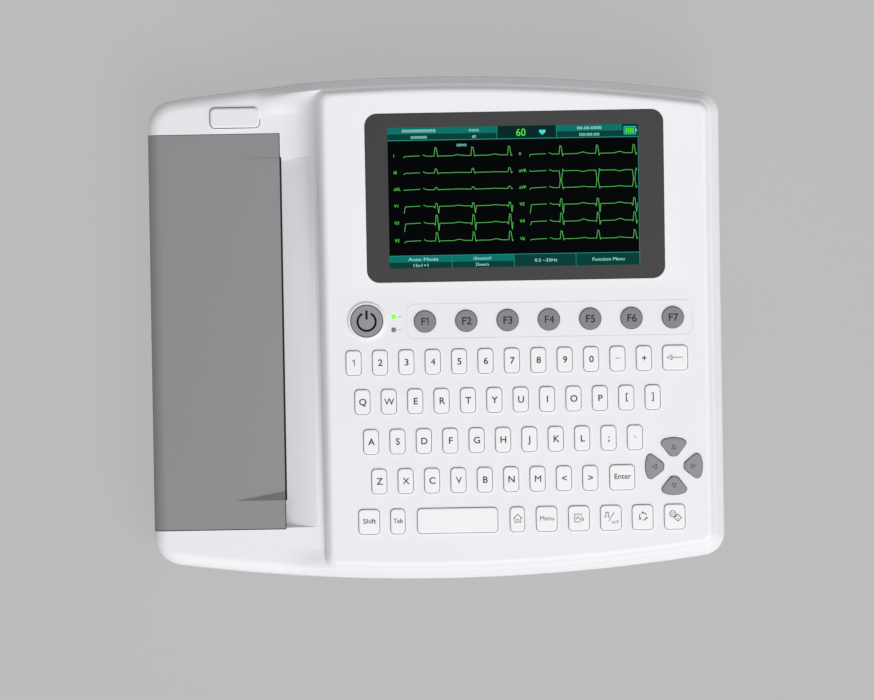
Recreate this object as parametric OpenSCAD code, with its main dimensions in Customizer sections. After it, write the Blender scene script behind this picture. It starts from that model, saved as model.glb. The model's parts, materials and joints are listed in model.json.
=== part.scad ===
// Desktop twelve-lead ECG recorder: keyboard and display plateau on the right,
// hinged thermal-printer door on the left. Millimetres, +Z up, X to the right,
// Y to the rear. Origin: centre of the footprint, on the plane of the feet.

/* [Body] */
// overall width
body_w = 347; // [300:1:400]
// overall depth on the centre line
body_d = 305; // [260:1:340]
// radius of the bowed front and rear faces
bow_r = 1145; // [600:5:3000]
// plan corner radius, left side
corner_l = 17; // [8:1:30]
// plan corner radius, right side
corner_r = 14; // [8:1:30]
// height of the rubber feet
foot_h = 3; // [2:0.5:6]
// height of the seam between the two case halves
seam_z = 28; // [22:1:34]
// height of the printer side
low_z = 50; // [44:1:58]
// wall thickness of the mouldings
wall = 2.5; // [1.5:0.1:4]
// edge radius of the printer side
edge_r = 8; // [4:0.5:12]

/* [Plateau] */
// left wall of the raised keyboard and display area
plateau_x = -70.2; // [-90:0.5:-50]
// crease between the keyboard plane and the display plane
crease_y = 21.5; // [0:0.5:60]
// height at the crease
crease_z = 64.3; // [58:0.1:72]
// slope of the keyboard plane, degrees
key_tilt = 2.5; // [0:0.1:6]
// slope of the display plane, degrees
disp_tilt = 8.5; // [4:0.1:14]
// width of the shoulder outside the plateau
shoulder = 7; // [3:0.5:12]

/* [Keys] */
// pitch of the letter keys
key_pitch = 16.02; // [14:0.01:20]
// width of a letter key
key_w = 9.1; // [8:0.1:14]
// depth of a letter key
key_h = 15; // [10:0.1:18]
// height of the caps above the panel
key_up = 1.4; // [0.8:0.1:3]
// gap round a key
key_gap = 0.3; // [0.15:0.05:0.6]
// radius of a function key
f_r = 6.5; // [4:0.1:9]
// radius of the power button
power_r = 9.6; // [6:0.5:14]

/* [Display] */
// display window width
win_w = 181.6; // [150:0.2:200]
// display window height along the tilted plane
win_h = 104; // [80:0.2:120]
// lit area width (7 inch panel)
lit_w = 154; // [140:0.5:170]
// lit area height
lit_h = 86; // [80:0.5:100]

/* [Printer] */
// right edge of the printer door
door_x = -93.6; // [-110:0.1:-80]
// front end of the printer door
door_y0 = -120.4; // [-130:0.1:-100]
// rear end of the printer door
door_y1 = 119.9; // [100:0.1:130]
// front end of the paper slit
slit_y0 = -103.2; // [-110:0.1:-90]
// rear end of the paper slit
slit_y1 = 105.8; // [90:0.1:115]
// width of the paper slit
slit_w = 1.2; // [0.8:0.1:3]
// depth of the scoop beside the slit
scoop = 4.8; // [0:0.1:8]
// paper roll width
paper_w = 208; // [100:1:216]
// full paper roll radius
roll_r = 19.5; // [10:0.5:22]
// roll core outer radius
core_r = 8; // [6:0.5:12]
// platen roller radius
platen_r = 6.5; // [4:0.1:9]
// gear module
gear_m = 0.8; // [0.5:0.1:1.5]
// platen gear teeth
teeth_platen = 16; // [12:1:30]
// idler gear teeth
teeth_idler = 20; // [12:1:40]
// motor pinion teeth
teeth_pinion = 12; // [10:1:20]

/* [Hidden] */

// shared colours
steel = [0.75, 0.75, 0.77];
spring_steel = [0.78, 0.78, 0.8];
shell_grey = [0.9, 0.9, 0.92];
gear_white = [0.9, 0.9, 0.86];
board_green = [0.1, 0.4, 0.28];
socket_black = [0.1, 0.1, 0.11];

// case
right_x = body_w / 2;
left_x = -body_w / 2;
floor_z = foot_h + wall;        // inside of the floor
slice = 0.3;                    // thickness of the slices that hulls are drawn over
key_slope = tan(key_tilt);
disp_slope = tan(disp_tilt);
crease_lap = 3;                 // each half of the plateau runs this far past the crease
bosses = [[-160, -134], [-160, 134], [-58, -133], [-62, 134], [158, -126], [158, 126]];
feet = [[-150, -122], [-150, 122], [157, -104], [150, 120], [0, -132], [0, 132]];

// door hinge: the case knuckles lie between these distances either side of Y = 0
hinge_x = left_x + 2.5;
hinge_z = seam_z;
knuckle_in = 62;
knuckle_out = 98;
knuckle_r = 2.4;
knuckles = [[-knuckle_out, -knuckle_in], [knuckle_in, knuckle_out]];
door_gap = 0.3;

// door latch
hook_y = 124;                   // pivot axis
hook_z = 33;
hook_x = [-125.6, -112.6];      // left and right sides of the hook
pivot_r = 2;
spring_at = [-119.2, 131.2];
button_at = [-120.2, 130];

// platen and gear train
platen_x = door_x - 0.1 - platen_r;
platen_z = 35;
mesh_slack = 0.08;              // added to the gear centre distances
idler_dir = -84;                // direction from platen to idler, degrees
motor_dir = 12;                 // direction from idler to motor, degrees
idler_mesh = gear_m * (teeth_platen + teeth_idler) / 2 + mesh_slack;
idler_x = platen_x + idler_mesh * cos(idler_dir);
idler_z = platen_z + idler_mesh * sin(idler_dir);
motor_mesh = gear_m * (teeth_idler + teeth_pinion) / 2 + mesh_slack;
motor_x = idler_x + motor_mesh * cos(motor_dir);
motor_z = idler_z + motor_mesh * sin(motor_dir);
gear_y = -112.6;                // rear face of the gears
gear_t = 4;
// a platen tooth points at the idler; each later gear is turned so its teeth mesh
idler_turn = idler_dir + 180 + 180 / teeth_idler;
idler_phase = (idler_turn - motor_dir) % (360 / teeth_idler);
pinion_turn = motor_dir + 180 - idler_phase * teeth_idler / teeth_pinion + 180 / teeth_pinion;

// print head and paper
head_x = door_x;                // face of the print head
roll_x = -135.5;
roll_z = 27;
paper_y = (slit_y0 + slit_y1) / 2;

// circuit boards
board_z = 12.1;
board_t = 1.6;
part_z = 13.6;                  // components start just inside the board
main_holes = [[-50, -54], [-50, 44], [92, -54], [92, 44], [46, 132], [92, 132]];
ecg_holes = [[108, -40], [108, 50], [160, -40], [160, 50]];
supply_holes = [[-56, 68], [26, 68], [-56, 116], [26, 116]];
battery_at = [90, -97];
battery_screw_at = [90, -64.4];
speaker_at = [-20, -105];
ecg_y = 5;                      // middle of the lead connector

// rear sockets
socket_gap = 0.2;
socket_y = 150.2;               // rear face of the sockets
earth_x = 4;
earth_z = 16;
// left x, right x, top z of the socket; underside z of its opening
inlet = [-54, -26, 26, 8];
lan = [50.2, 66.2, 24.2, 10];
usb = [73.2, 89.2, 20.4, 10];

// display centres, in the display plane
disp_y = crease_y + (79.3 - crease_y) / cos(disp_tilt);
window_at = [49.2, disp_y];
lcd_at = [48.9, disp_y];
lcd_holes = [for (sx = [-1, 1], sy = [-1, 1]) lcd_at + [sx * 90, sy * 42]];

// places in the keyboard plane
leds_at = [[-25.5, 7.1], [-25.6, -0.8]];
power_at = [-42, 5];
pad_at = [143.05, -86.5];       // centre of the four arrow keys
arrow_reach = 12.5;             // from there to the plunger of an arrow key
f_keys_at = [for (i = [0 : 6]) [-6.6 + 25.07 * i, 4]];
f_frame_at = [68.8, 4.3];
// posts for the keyboard board; the last three lie under the keys
key_posts = [[-50, -129.2], [46, -129.2], [148, -129.2], [-60, -32.4], [46, -32.4], [158, -32.4]];
boss_notches = [[158, -126.5], [-58, -133.5]];

// keys: [x, y, width, depth]
row_y = [-20.5, -44.3, -68.6, -92.7, -117.2];
wide_w = 15.1;                  // width of backspace and enter
bottom_h = 15.1;                // depth of the keys in the front row
digit_row = key_row(12, -50.4, row_y[0]);
q_row = key_row(12, -45.45, row_y[1]);
a_row = key_row(11, -40.6, row_y[2]);
z_row = key_row(9, -36.05, row_y[3]);
backspace = [[144.8, row_y[0], wide_w, 15]];
enter = [[111.5, row_y[3], wide_w, 15.2]];
space = [[11.1, row_y[4], 48.8, bottom_h]];
// x and width of the other keys in the front row
bottom_table = [[-42.6, 12.6], [-25.2, 8.7], [47.4, 8.7], [65.2, 12.5],
                [84.8, 12.5], [104.2, 12.5], [123.5, 12.5], [143, 12.5]];
bottom_row = [for (k = bottom_table) [k[0], row_y[4], k[1], bottom_h]];
all_keys = concat(digit_row, q_row, a_row, z_row, backspace, enter, space, bottom_row);
function key_row(count, x, y) = [for (i = [0 : count - 1]) [x + i * key_pitch, y, key_w, key_h]];

// ---------- points ----------
function polar(radius, angle) = [radius * cos(angle), radius * sin(angle)];
function arc(centre, radius, start, end, steps = 6) =
  [for (i = [0 : steps]) centre + polar(radius, start + (end - start) * i / steps)];
// mirrored front to rear, in reverse order
function flip(points) = [for (i = [len(points) - 1 : -1 : 0]) [points[i][0], -points[i][1]]];
function round_rect(size, radius, steps) =
  let(x = size[0] / 2 - radius, y = size[1] / 2 - radius) concat(
    arc([x, y], radius, 0, 90, steps),
    arc([-x, y], radius, 90, 180, steps),
    arc([-x, -y], radius, 180, 270, steps),
    arc([x, -y], radius, 270, 360, steps));

// ---------- solids ----------
module box(low, high) { translate(low) cube(high - low); }
// box centred on a plan point
module block(at, size, low, high) {
  box([at[0] - size[0] / 2, at[1] - size[1] / 2, low],
      [at[0] + size[0] / 2, at[1] + size[1] / 2, high]);
}
module layer(z, points, thick = slice) {
  translate([0, 0, z]) linear_extrude(height = thick) polygon(points);
}
// rounded rectangle centred on a plan point
module tile(at, z, size, radius, thick, steps = 2) {
  translate([at[0], at[1], 0]) layer(z, round_rect(size, radius, steps), thick);
}
module post(at, z, radius, height, sides = 24) {
  translate([at[0], at[1], z]) cylinder(r = radius, h = height, $fn = sides);
}
module bar_x(y, z, radius, start, end, sides = 48) {
  translate([start, y, z]) rotate([0, 90, 0]) cylinder(r = radius, h = end - start, $fn = sides);
}
module bar_y(x, z, radius, start, end, sides = 48) {
  translate([x, end, z]) rotate([90, 0, 0]) cylinder(r = radius, h = end - start, $fn = sides);
}
// a YZ section drawn out along X
module extrude_x(points, start, end) {
  translate([start, 0, 0]) rotate([90, 0, 90]) linear_extrude(height = end - start) polygon(points);
}
// an XZ section drawn out along Y
module extrude_y(points, start, end) {
  translate([0, end, 0]) rotate([90, 0, 0]) linear_extrude(height = end - start) polygon(points);
}
// helical spring
module coil(radius, wire, pitch, turns) {
  linear_extrude(height = pitch * turns, twist = -360 * turns,
                 slices = ceil(16 * turns), convexity = 6)
    polygon([for (i = [0 : 9]) let(a = i * 36)
      polar(radius + wire * cos(a), 360 * wire / pitch * sin(a))]);
}
// children drawn flat at z = 0 land on the plane tilted about the crease
module on_plane(tilt) {
  translate([0, crease_y, crease_z]) rotate([tilt, 0, 0]) translate([0, -crease_y, 0]) children();
}
module on_keys() { on_plane(key_tilt) children(); }
module on_disp() { on_plane(disp_tilt) children(); }

// ---------- plan outlines ----------
bow_y = body_d / 2 - bow_r;     // centre of the rear bow
function bow(x, inset) = sqrt(pow(bow_r - inset, 2) - x * x) + bow_y;
// centre of a corner arc that touches both the side and the bow
function corner_centre(x, radius) = [x, bow(x, radius)];
function bow_angle(centre) = atan2(centre[1] - bow_y, centre[0]);
function inset_radius(radius, inset) = max(0.4, radius - inset);
right_c = corner_centre(right_x - corner_r, corner_r);
left_c = corner_centre(left_x + corner_l, corner_l);
right_angle = bow_angle(right_c);
left_angle = bow_angle(left_c);

// right rear corner, then the rear bow as far as end_x
function rear_edge(inset, end_x) =
  let(start_x = (bow_r - inset) * cos(right_angle)) concat(
    arc(right_c, inset_radius(corner_r, inset), 0, right_angle),
    [for (i = [1 : 9]) let(x = start_x + (end_x - start_x) * i / 10) [x, bow(x, inset)]]);

// whole body
function body_outline(inset) = let(rear = concat(
    rear_edge(inset, bow_r * cos(left_angle)),
    arc(left_c, inset_radius(corner_l, inset), left_angle, 180)))
  concat(rear, flip(rear));

// rear (side 1) or front (side -1) part of the plateau, from its left wall to the cut at cut_y
plateau_r = 5;
function plateau_outline(inset, wall_x, side, cut_y) = let(half = concat(
    [[right_x - inset, side * cut_y]],
    rear_edge(inset, wall_x),
    arc([wall_x + plateau_r, bow(wall_x, inset) - plateau_r], plateau_r, 90, 180, 3),
    [[wall_x, side * cut_y]]))
  side > 0 ? half : flip(half);

// ---------- top case ----------
// inset, depth below the plane, distance of the left wall from plateau_x
outer_rows = [
  [0, 14, 0], [0.9, 9.5, 0.7], [3, 6.2, 1.3],
  [shoulder, 2.6, 2.6], [shoulder + 2, 0.7, 4], [shoulder + 4.4, 0, 6]];
inner_rows = [
  [wall, 16, 2.6], [wall + 3, 10.4, 3.2],
  [shoulder + 4.6, 5, 4.6], [shoulder + 6.6, 2.5, 8]];
// inset and top of each slice round the edge of the printer side
edge_rows = [for (i = [0 : 4]) let(a = 90 * i / 4)
  [edge_r * (1 - cos(a)), low_z - edge_r * (1 - sin(a))]];

// height of the keyboard or display plane
function plane_z(y) = crease_z + (y - crease_y) * (y < crease_y ? key_slope : disp_slope);

// slice sheared to follow a plane, `drop` under it
module sloped_layer(slope, drop, points) {
  multmatrix([[1, 0, 0, 0], [0, 1, 0, 0],
              [0, slope, 1, crease_z - crease_y * slope - drop], [0, 0, 0, 1]])
    layer(-slice, points);
}
module plateau_part(rows, slope, side, base_z) {
  cut_y = crease_y - side * crease_lap;
  hull() {
    layer(base_z, plateau_outline(rows[0][0], plateau_x + rows[0][2], side, cut_y));
    for (row = rows)
      sloped_layer(slope, row[1], plateau_outline(row[0], plateau_x + row[2], side, cut_y));
  }
}
module plateau(rows, base_z) {
  plateau_part(rows, key_slope, -1, base_z);
  plateau_part(rows, disp_slope, 1, base_z);
}
module left_of(x) { intersection() { children(); box([-300, -300, -10], [x, 300, 200]); } }
module low_side() {
  left_of(plateau_x + 10)
    hull() for (row = concat([[0, seam_z + slice]], edge_rows))
      layer(row[1] - slice, body_outline(row[0]));
}
module low_room(inset, top) {
  left_of(plateau_x + 12) layer(seam_z - 1, body_outline(inset), top - seam_z + 1);
}
module top_shell() {
  difference() {
    union() {
      low_side();
      plateau(outer_rows, seam_z);
    }
    low_room(wall, low_z - edge_r + 1.2);
    low_room(wall + 3, low_z - wall);
    plateau(inner_rows, seam_z - 1);
  }
}
// slope from the plateau wall down to the printer deck
module ramp(reach, rise, start, end) {
  extrude_y([[plateau_x - reach, low_z - 1], [plateau_x + 3, low_z - 1],
             [plateau_x + 3, low_z + rise], [plateau_x, low_z + rise]], start, end);
}
// ten slots in the right-hand wall
module side_vents(y, pitch, width, low, high) {
  for (i = [0 : 9])
    box([right_x - 6, y + i * pitch, low], [right_x + 5, y + i * pitch + width, high]);
}
module key_holes() {
  depth = 12;
  z = -6;
  on_keys() {
    for (k = all_keys) tile(k, z, [k[2] + 2 * key_gap, k[3] + 2 * key_gap], 2.5, depth);
    for (at = f_keys_at) post(at, z, f_r + key_gap, depth, 48);
    post(power_at, z, power_r + key_gap, depth, 64);
    for (at = leds_at) post(at, z, 1.55, depth, 32);
    for (a = [0 : 3])
      translate([pad_at[0], pad_at[1], 0]) rotate([0, 0, 90 * a])
        layer(z, arrow_points(key_gap), depth);
    // engraved frame round the function keys
    difference() {
      tile(f_frame_at, -0.35, [173.6, 21.1], 9, 2, 3);
      tile(f_frame_at, -1.35, [172.6, 20.1], 8.5, 4, 3);
    }
  }
}

module top_case() {
  color([0.93, 0.93, 0.95]) difference() {
    union() {
      top_shell();
      // ramps along the rear and front edges
      intersection() {
        union() {
          ramp(24, 21, 140.5, 152);
          ramp(16, 2.4, -152, -142);
        }
        layer(0, body_outline(1.6), 120);
      }
      // floor under the paper run-out
      extrude_y([[door_x, low_z - scoop - wall], [plateau_x + 1, low_z - wall],
                 [plateau_x + 1, low_z - 0.5], [door_x, low_z - 0.5]],
                door_y0 + 0.6 - wall, slit_y1 + wall);
      // raised ring round the power button
      on_keys() post(power_at, -2, power_r + 2, 2.9, 64);
      // screw columns
      for (at = bosses) {
        top = at[0] < -100 ? low_z - wall + 0.4 : plane_z(at[1]) - wall - 0.2;
        post(at, seam_z, 4, top - seam_z, 32);
      }
      // posts that hold the display module and the keyboard board
      on_disp() for (at = lcd_holes) post(at, -10.4, 3, 8.4);
      on_keys() for (at = key_posts) post(at, -7.9, 2.4, 5.8);
    }
    // printer door opening, with the slit alongside it
    box([-body_w, door_y0 - door_gap, seam_z - 5],
        [door_x + door_gap, door_y1 + door_gap, low_z + 20]);
    box([door_x - 1, slit_y0, seam_z - 5], [door_x + slit_w, slit_y1, low_z + 20]);
    // paper run-out recess
    extrude_y([[door_x - 2, low_z - scoop - 0.4], [door_x + slit_w, low_z - scoop],
               [plateau_x, low_z], [plateau_x, low_z + 0.5], [door_x - 2, low_z + 0.5]],
              door_y0 + 0.6, slit_y1);
    // hole for the door release button
    tile(button_at, low_z - 8, [31.3, 13.6], 3.3, 20, 3);
    key_holes();
    // display window seat and opening
    on_disp() {
      tile(window_at, -1.7, [win_w + 0.4, win_h + 0.4], 7.7, 8, 4);
      tile(lcd_at, -8, [lit_w + 2, lit_h + 2], 1, 20, 1);
    }
    for (at = bosses) post(at, seam_z - 1, 1.53, 15);
    side_vents(-95, 7, 3, seam_z + 6, seam_z + 14);
  }
}

// ---------- bottom case ----------
module bottom_shell() {
  difference() {
    union() {
      // bevelled underside: inset and height of each slice
      hull() for (row = [[5, foot_h], [1.6, foot_h + 1.3], [0, foot_h + 4.8]])
        layer(row[1], body_outline(row[0]));
      layer(foot_h + 5, body_outline(0), seam_z - foot_h - 5.1);
    }
    layer(floor_z, body_outline(5.2), 10);
    layer(foot_h + 5.4, body_outline(wall), seam_z);
  }
}
module bottom_mounts() {
  base_z = foot_h + 1;
  for (at = bosses) post(at, base_z, 5, seam_z - foot_h - 1.15, 32);
  // board pillars
  for (at = concat(main_holes, ecg_holes, supply_holes)) post(at, floor_z - 0.5, 3, 7);
  // battery bay walls
  difference() {
    block(battery_at, [114, 62], base_z, 20);
    block(battery_at, [110, 58], foot_h - 1, 30);
  }
  // latch uprights and spring seat
  for (x = [-128.6, -112]) box([x, 121, base_z], [x + 2.4, 127.4, 36.2]);
  post(spring_at, base_z, 4.4, 16, 32);
  // ledges and hinge knuckles
  for (span = knuckles) {
    box([left_x + 0.2, span[0], seam_z - 6], [hinge_x + 1.5, span[1], seam_z - 1]);
    bar_y(hinge_x, hinge_z, knuckle_r, span[0], span[1]);
  }
  // cup round the earth pin
  bar_y(earth_x, earth_z, 10.6, 137, 150.4);
  // ribs that carry the print head bracket
  for (y = [-100, -34, 34, 100]) box([-86, y - 1.5, base_z], [-72, y + 1.5, 27]);
}
module hinge_room() {
  gap = 0.2;
  for (span = [[door_y0 - door_gap, -knuckle_out - gap],
               [-knuckle_in + gap, knuckle_in - gap],
               [knuckle_out + gap, door_y1 + door_gap]])
    box([left_x - 2, span[0], hinge_z - 4.2], [hinge_x + 4.2, span[1], seam_z + 2]);
  for (span = knuckles)
    box([hinge_x + 2.6, span[0] - gap, hinge_z - 3], [hinge_x + 6, span[1] + gap, hinge_z + 3]);
  bar_y(hinge_x, hinge_z, 1.22, -110, 110, 32);
}
module battery_opening() {
  under_z = foot_h - 1;
  tile(battery_at, under_z, [112, 60], 3, 1 + 1.4);
  block(battery_at, [106, 54], under_z, floor_z + 1);
  // recess for the screw tab, and its pilot hole
  post(battery_screw_at, under_z, 4.2, 2.4, 32);
  box([battery_screw_at[0] - 4.2, -68, under_z],
      [battery_screw_at[0] + 4.2, battery_screw_at[1], foot_h + 1.4]);
  post(battery_screw_at, under_z, 1.28, 6);
}

module bottom_case() {
  color(shell_grey) difference() {
    union() {
      bottom_shell();
      bottom_mounts();
    }
    hinge_room();
    // latch hook pivots
    bar_x(hook_y, hook_z, pivot_r + 0.05, -130, -108, 32);
    // screw ways
    for (at = bosses) {
      post(at, foot_h - 1, 3.3, 12.98, 32);
      post(at, foot_h, 1.75, 40);
    }
    // seats for the feet
    for (at = feet) post(at, foot_h - 1, 8.1, 2, 40);
    battery_opening();
    // rear socket openings
    for (s = [inlet, lan, usb])
      box([s[0] - socket_gap, 140, s[3]], [s[1] + socket_gap, 160, s[2] + socket_gap]);
    bar_y(earth_x, earth_z, 8.5, 141, 165);
    bar_y(earth_x, earth_z, 2.53, 125, 165, 32);
    // lead connector opening
    box([160, ecg_y - 20.2, 11], [180, ecg_y + 20.2, 24.4]);
    // speaker grille and floor vents
    for (i = [-3 : 3]) block(speaker_at + [0, i * 4], [28, 1.8], foot_h - 1, foot_h + 4);
    for (i = [0 : 9]) box([-40 + i * 7, 76, foot_h - 1], [-37 + i * 7, 108, foot_h + 4]);
    side_vents(62, 6, 2.6, 12, 21);
  }
}

module rubber_feet() {
  color([0.12, 0.12, 0.13]) for (at = feet) translate([at[0], at[1], 0]) {
    translate([0, 0, 1]) cylinder(r = 8, h = foot_h - 0.02, $fn = 40);
    cylinder(r1 = 7.2, r2 = 8, h = 1, $fn = 40);
  }
}

// crossed driver slots
module cross_slots(at, z, length, width, depth) {
  for (a = [0, 90])
    translate([at[0], at[1], z]) rotate([0, 0, a])
      translate([-length / 2, -width / 2, 0]) cube([length, width, depth]);
}
module case_screws() {
  color([0.7, 0.7, 0.72]) {
    for (at = bosses) difference() {
      union() {
        post(at, foot_h + 9.6, 3, 2.38, 32);
        post(at, foot_h + 11, 1.5, 28);
      }
      cross_slots(at, foot_h + 9, 3.6, 0.8, 1.6);
    }
    // battery door screw
    difference() {
      union() {
        post(battery_screw_at, foot_h - 0.2, 2.6, 0.98, 32);
        post(battery_screw_at, foot_h + 0.5, 1.25, 3.6);
      }
      cross_slots(battery_screw_at, foot_h - 0.5, 3.2, 0.6, 0.9);
    }
  }
}

// ---------- printer door and latch ----------
// section with a rounded left shoulder, from bottom_z up
function door_profile(inset, end_x, bottom_z) = concat(
  [[left_x + inset, bottom_z]],
  arc([left_x + edge_r, low_z - edge_r], edge_r - inset, 180, 90),
  [[end_x, low_z - inset], [end_x, bottom_z]]);

module printer_cover() {
  lid_z = low_z - 1;            // added parts reach up into the skin
  cheek_x = [platen_x - 6, platen_x + 6.4];
  color([0.57, 0.57, 0.59]) difference() {
    union() {
      difference() {
        extrude_y(door_profile(0, door_x, hinge_z + 2.8), door_y0, door_y1);
        extrude_y(door_profile(wall, door_x + 5, hinge_z), door_y0 - 1, door_y1 + 1);
      }
      // scooped lip over the platen
      extrude_y([[-126, low_z - wall - 0.2], [door_x, low_z - scoop - wall],
                 [door_x, lid_z], [-126, lid_z]], slit_y0 - wall, slit_y1 + wall);
      // end walls
      box([-166, door_y0, 42], [door_x, door_y0 + 2, lid_z]);
      box([-166, 117.2, 42], [door_x, 119.2, lid_z]);
      box([-134, 117.2, 37], [-106, 119.2, 44]);
      // cross ribs
      for (y = [-60, 0, 60]) box([-168, y - 0.8, 47.2], [-128, y + 0.8, lid_z]);
      // cheeks that hold the platen bushes
      box([cheek_x[0], -110, 30.5], [cheek_x[1], -107, low_z - scoop - 0.6]);
      box([cheek_x[0], 109.6, 30.5], [cheek_x[1], 112.6, lid_z]);
      box([cheek_x[0], -110, 40], [cheek_x[1], -107, lid_z]);
      // hinge barrels between and outside the case knuckles
      for (span = [[-118, -knuckle_out - 0.4],
                   [-knuckle_in + 0.4, knuckle_in - 0.4],
                   [knuckle_out + 0.4, 118]]) {
        bar_y(hinge_x, hinge_z, knuckle_r, span[0], span[1]);
        box([left_x + 0.1, span[0], hinge_z], [hinge_x, span[1], hinge_z + 4]);
      }
    }
    // scoop
    extrude_y([[-124, low_z], [door_x + 0.5, low_z - scoop - 0.08],
               [door_x + 0.5, low_z + 1], [-124, low_z + 1]], slit_y0, slit_y1);
    // bush and hinge pin bores
    bar_y(platen_x, platen_z, 4.52, -115, 115);
    bar_y(hinge_x, hinge_z, 1.24, -125, 125, 32);
    // window for the latch nose
    box([hook_x[0] - 1, 116, 40.2], [hook_x[1] + 1, 120, 43.4]);
  }
}
module hinge_pin() { color(steel) bar_y(hinge_x, hinge_z, 1.2, -109, 109, 32); }

module door_release_button() {
  color([0.94, 0.94, 0.95]) {
    hull() {
      tile(button_at, low_z - 4.2, [30.7, 13], 3, 4.4, 3);
      tile(button_at + [0, 0.2], low_z + 1.9, [27.6, 10], 2.2, 0.1, 3);
    }
    // retaining flange
    tile(button_at + [0, 1.25], low_z - 5, [33.6, 10.5], 1.8, 2.2);
    // stem down to the hook
    box([spring_at[0] - 2, spring_at[1] - 2, 35.9], [spring_at[0] + 2, spring_at[1], low_z - 4.5]);
  }
}
module latch_hook() {
  color([0.25, 0.26, 0.28]) {
    bar_x(hook_y, hook_z, pivot_r, -128.4, -109.8, 32);
    // upright, nose and rear lever
    box([hook_x[0], hook_y - 1.6, hook_z - 1], [hook_x[1], hook_y + 1.6, 42.8]);
    extrude_x([[119.4, 40.6], [124, 40.6], [124, 42.8], [120.4, 42.8]], hook_x[0], hook_x[1]);
    box([hook_x[0], hook_y, hook_z - 0.4], [hook_x[1], 134, hook_z + 2.2]);
  }
}
module latch_spring() {
  color(spring_steel) translate([spring_at[0], spring_at[1], foot_h + 17.6])
    coil(radius = 2.8, wire = 0.35, pitch = 2.2, turns = 5);
}

// ---------- platen and drive ----------
pressure = 20;                  // pressure angle
function degrees(radians) = radians * 180 / PI;
function involute(base_r, roll) = let(turn = roll * PI / 180)
  [base_r * (cos(roll) + turn * sin(roll)), base_r * (sin(roll) - turn * cos(roll))];
// roll angle at which the involute reaches a radius
function roll_at(radius, base_r) = degrees(sqrt(pow(radius / base_r, 2) - 1));
function gear_points(teeth) = let(
    pitch_r = gear_m * teeth / 2,
    base_r = pitch_r * cos(pressure),
    tip_r = pitch_r + 0.8 * gear_m,
    root_r = pitch_r - 1.2 * gear_m,
    inv = degrees(tan(pressure)) - pressure,
    half = 90 / teeth - degrees(0.07 * gear_m / pitch_r),  // half a tooth, thinned for backlash
    root_angle = half + inv + 1,
    first = root_r > base_r ? roll_at(root_r, base_r) : 0,
    last = roll_at(tip_r, base_r),
    // radius and angle of each point up one flank
    flank = [for (i = [0 : 4]) let(p = involute(base_r, first + (last - first) * i / 4))
      [norm(p), atan2(p[1], p[0]) - inv - half]])
  [for (k = [0 : teeth - 1]) let(mid = k * 360 / teeth) each concat(
    [polar(root_r, mid - root_angle)],
    [for (f = flank) polar(f[0], mid + f[1])],
    [for (i = [4 : -1 : 0]) polar(flank[i][0], mid - flank[i][1])],
    [polar(root_r, mid + root_angle)])];
module gear(x, z, teeth, turn, bore) {
  difference() {
    translate([x, gear_y, z]) rotate([90, 0, 0]) linear_extrude(height = gear_t)
      rotate([0, 0, turn]) polygon(gear_points(teeth));
    bar_y(x, z, bore, gear_y - gear_t - 5, gear_y + 5, 32);
  }
}
module platen_gear() {
  color(gear_white) gear(platen_x, platen_z, teeth_platen, idler_dir, 2.51);
}
module idler_gear() { color(gear_white) gear(idler_x, idler_z, teeth_idler, idler_turn, 2.05); }
module motor_pinion() {
  color([0.78, 0.66, 0.36]) gear(motor_x, motor_z, teeth_pinion, pinion_turn, 1.01);
}
module platen_roller() {
  color([0.13, 0.13, 0.14]) difference() {
    bar_y(platen_x, platen_z, platen_r, -104, 106.6, 64);
    bar_y(platen_x, platen_z, 3.01, -120, 120, 32);
  }
}
module platen_shaft() {
  color(steel) {
    bar_y(platen_x, platen_z, 3, -106.4, 109, 32);
    bar_y(platen_x, platen_z, 2.5, -117.4, 113.4, 32);
  }
}
module platen_bushes() {
  color([0.85, 0.83, 0.76]) for (y = [-110.2, 109.4]) difference() {
    bar_y(platen_x, platen_z, 4.5, y, y + 3.4);
    bar_y(platen_x, platen_z, 2.54, y - 1, y + 5, 32);
  }
}
module drive_plate() {
  color([0.72, 0.73, 0.75]) difference() {
    union() {
      // upright and foot
      box([-112, -120.6, 6], [-72, -119, 34]);
      box([-112, -119.2, 5.7], [-72, -110.4, 7.2]);
      // idler pin and its collar
      bar_y(idler_x, idler_z, 2, -120, -111.4, 32);
      bar_y(idler_x, idler_z, 3.4, -119.2, -117, 32);
    }
    bar_y(motor_x, motor_z, 5.1, -125, -118, 32);
    box([-113, -122, 30], [-88.6, -118, 40]);
  }
}
module stepper_motor() {
  color([0.6, 0.61, 0.63]) {
    bar_y(motor_x, motor_z, 11.5, -139, -122.2);
    // flange with two screw holes
    difference() {
      box([motor_x - 17, -122.4, motor_z - 5], [motor_x + 17, -120.8, motor_z + 5]);
      for (side = [-1, 1]) bar_y(motor_x + side * 14.5, motor_z, 1.6, -125, -118, 24);
    }
    // boss, shaft and the block underneath
    bar_y(motor_x, motor_z, 5, -121.2, -119.6, 32);
    bar_y(motor_x, motor_z, 1, -120, -111.8, 24);
    box([motor_x - 5, -137, 7.4], [motor_x + 5, -128, motor_z - 9]);
  }
}

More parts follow.
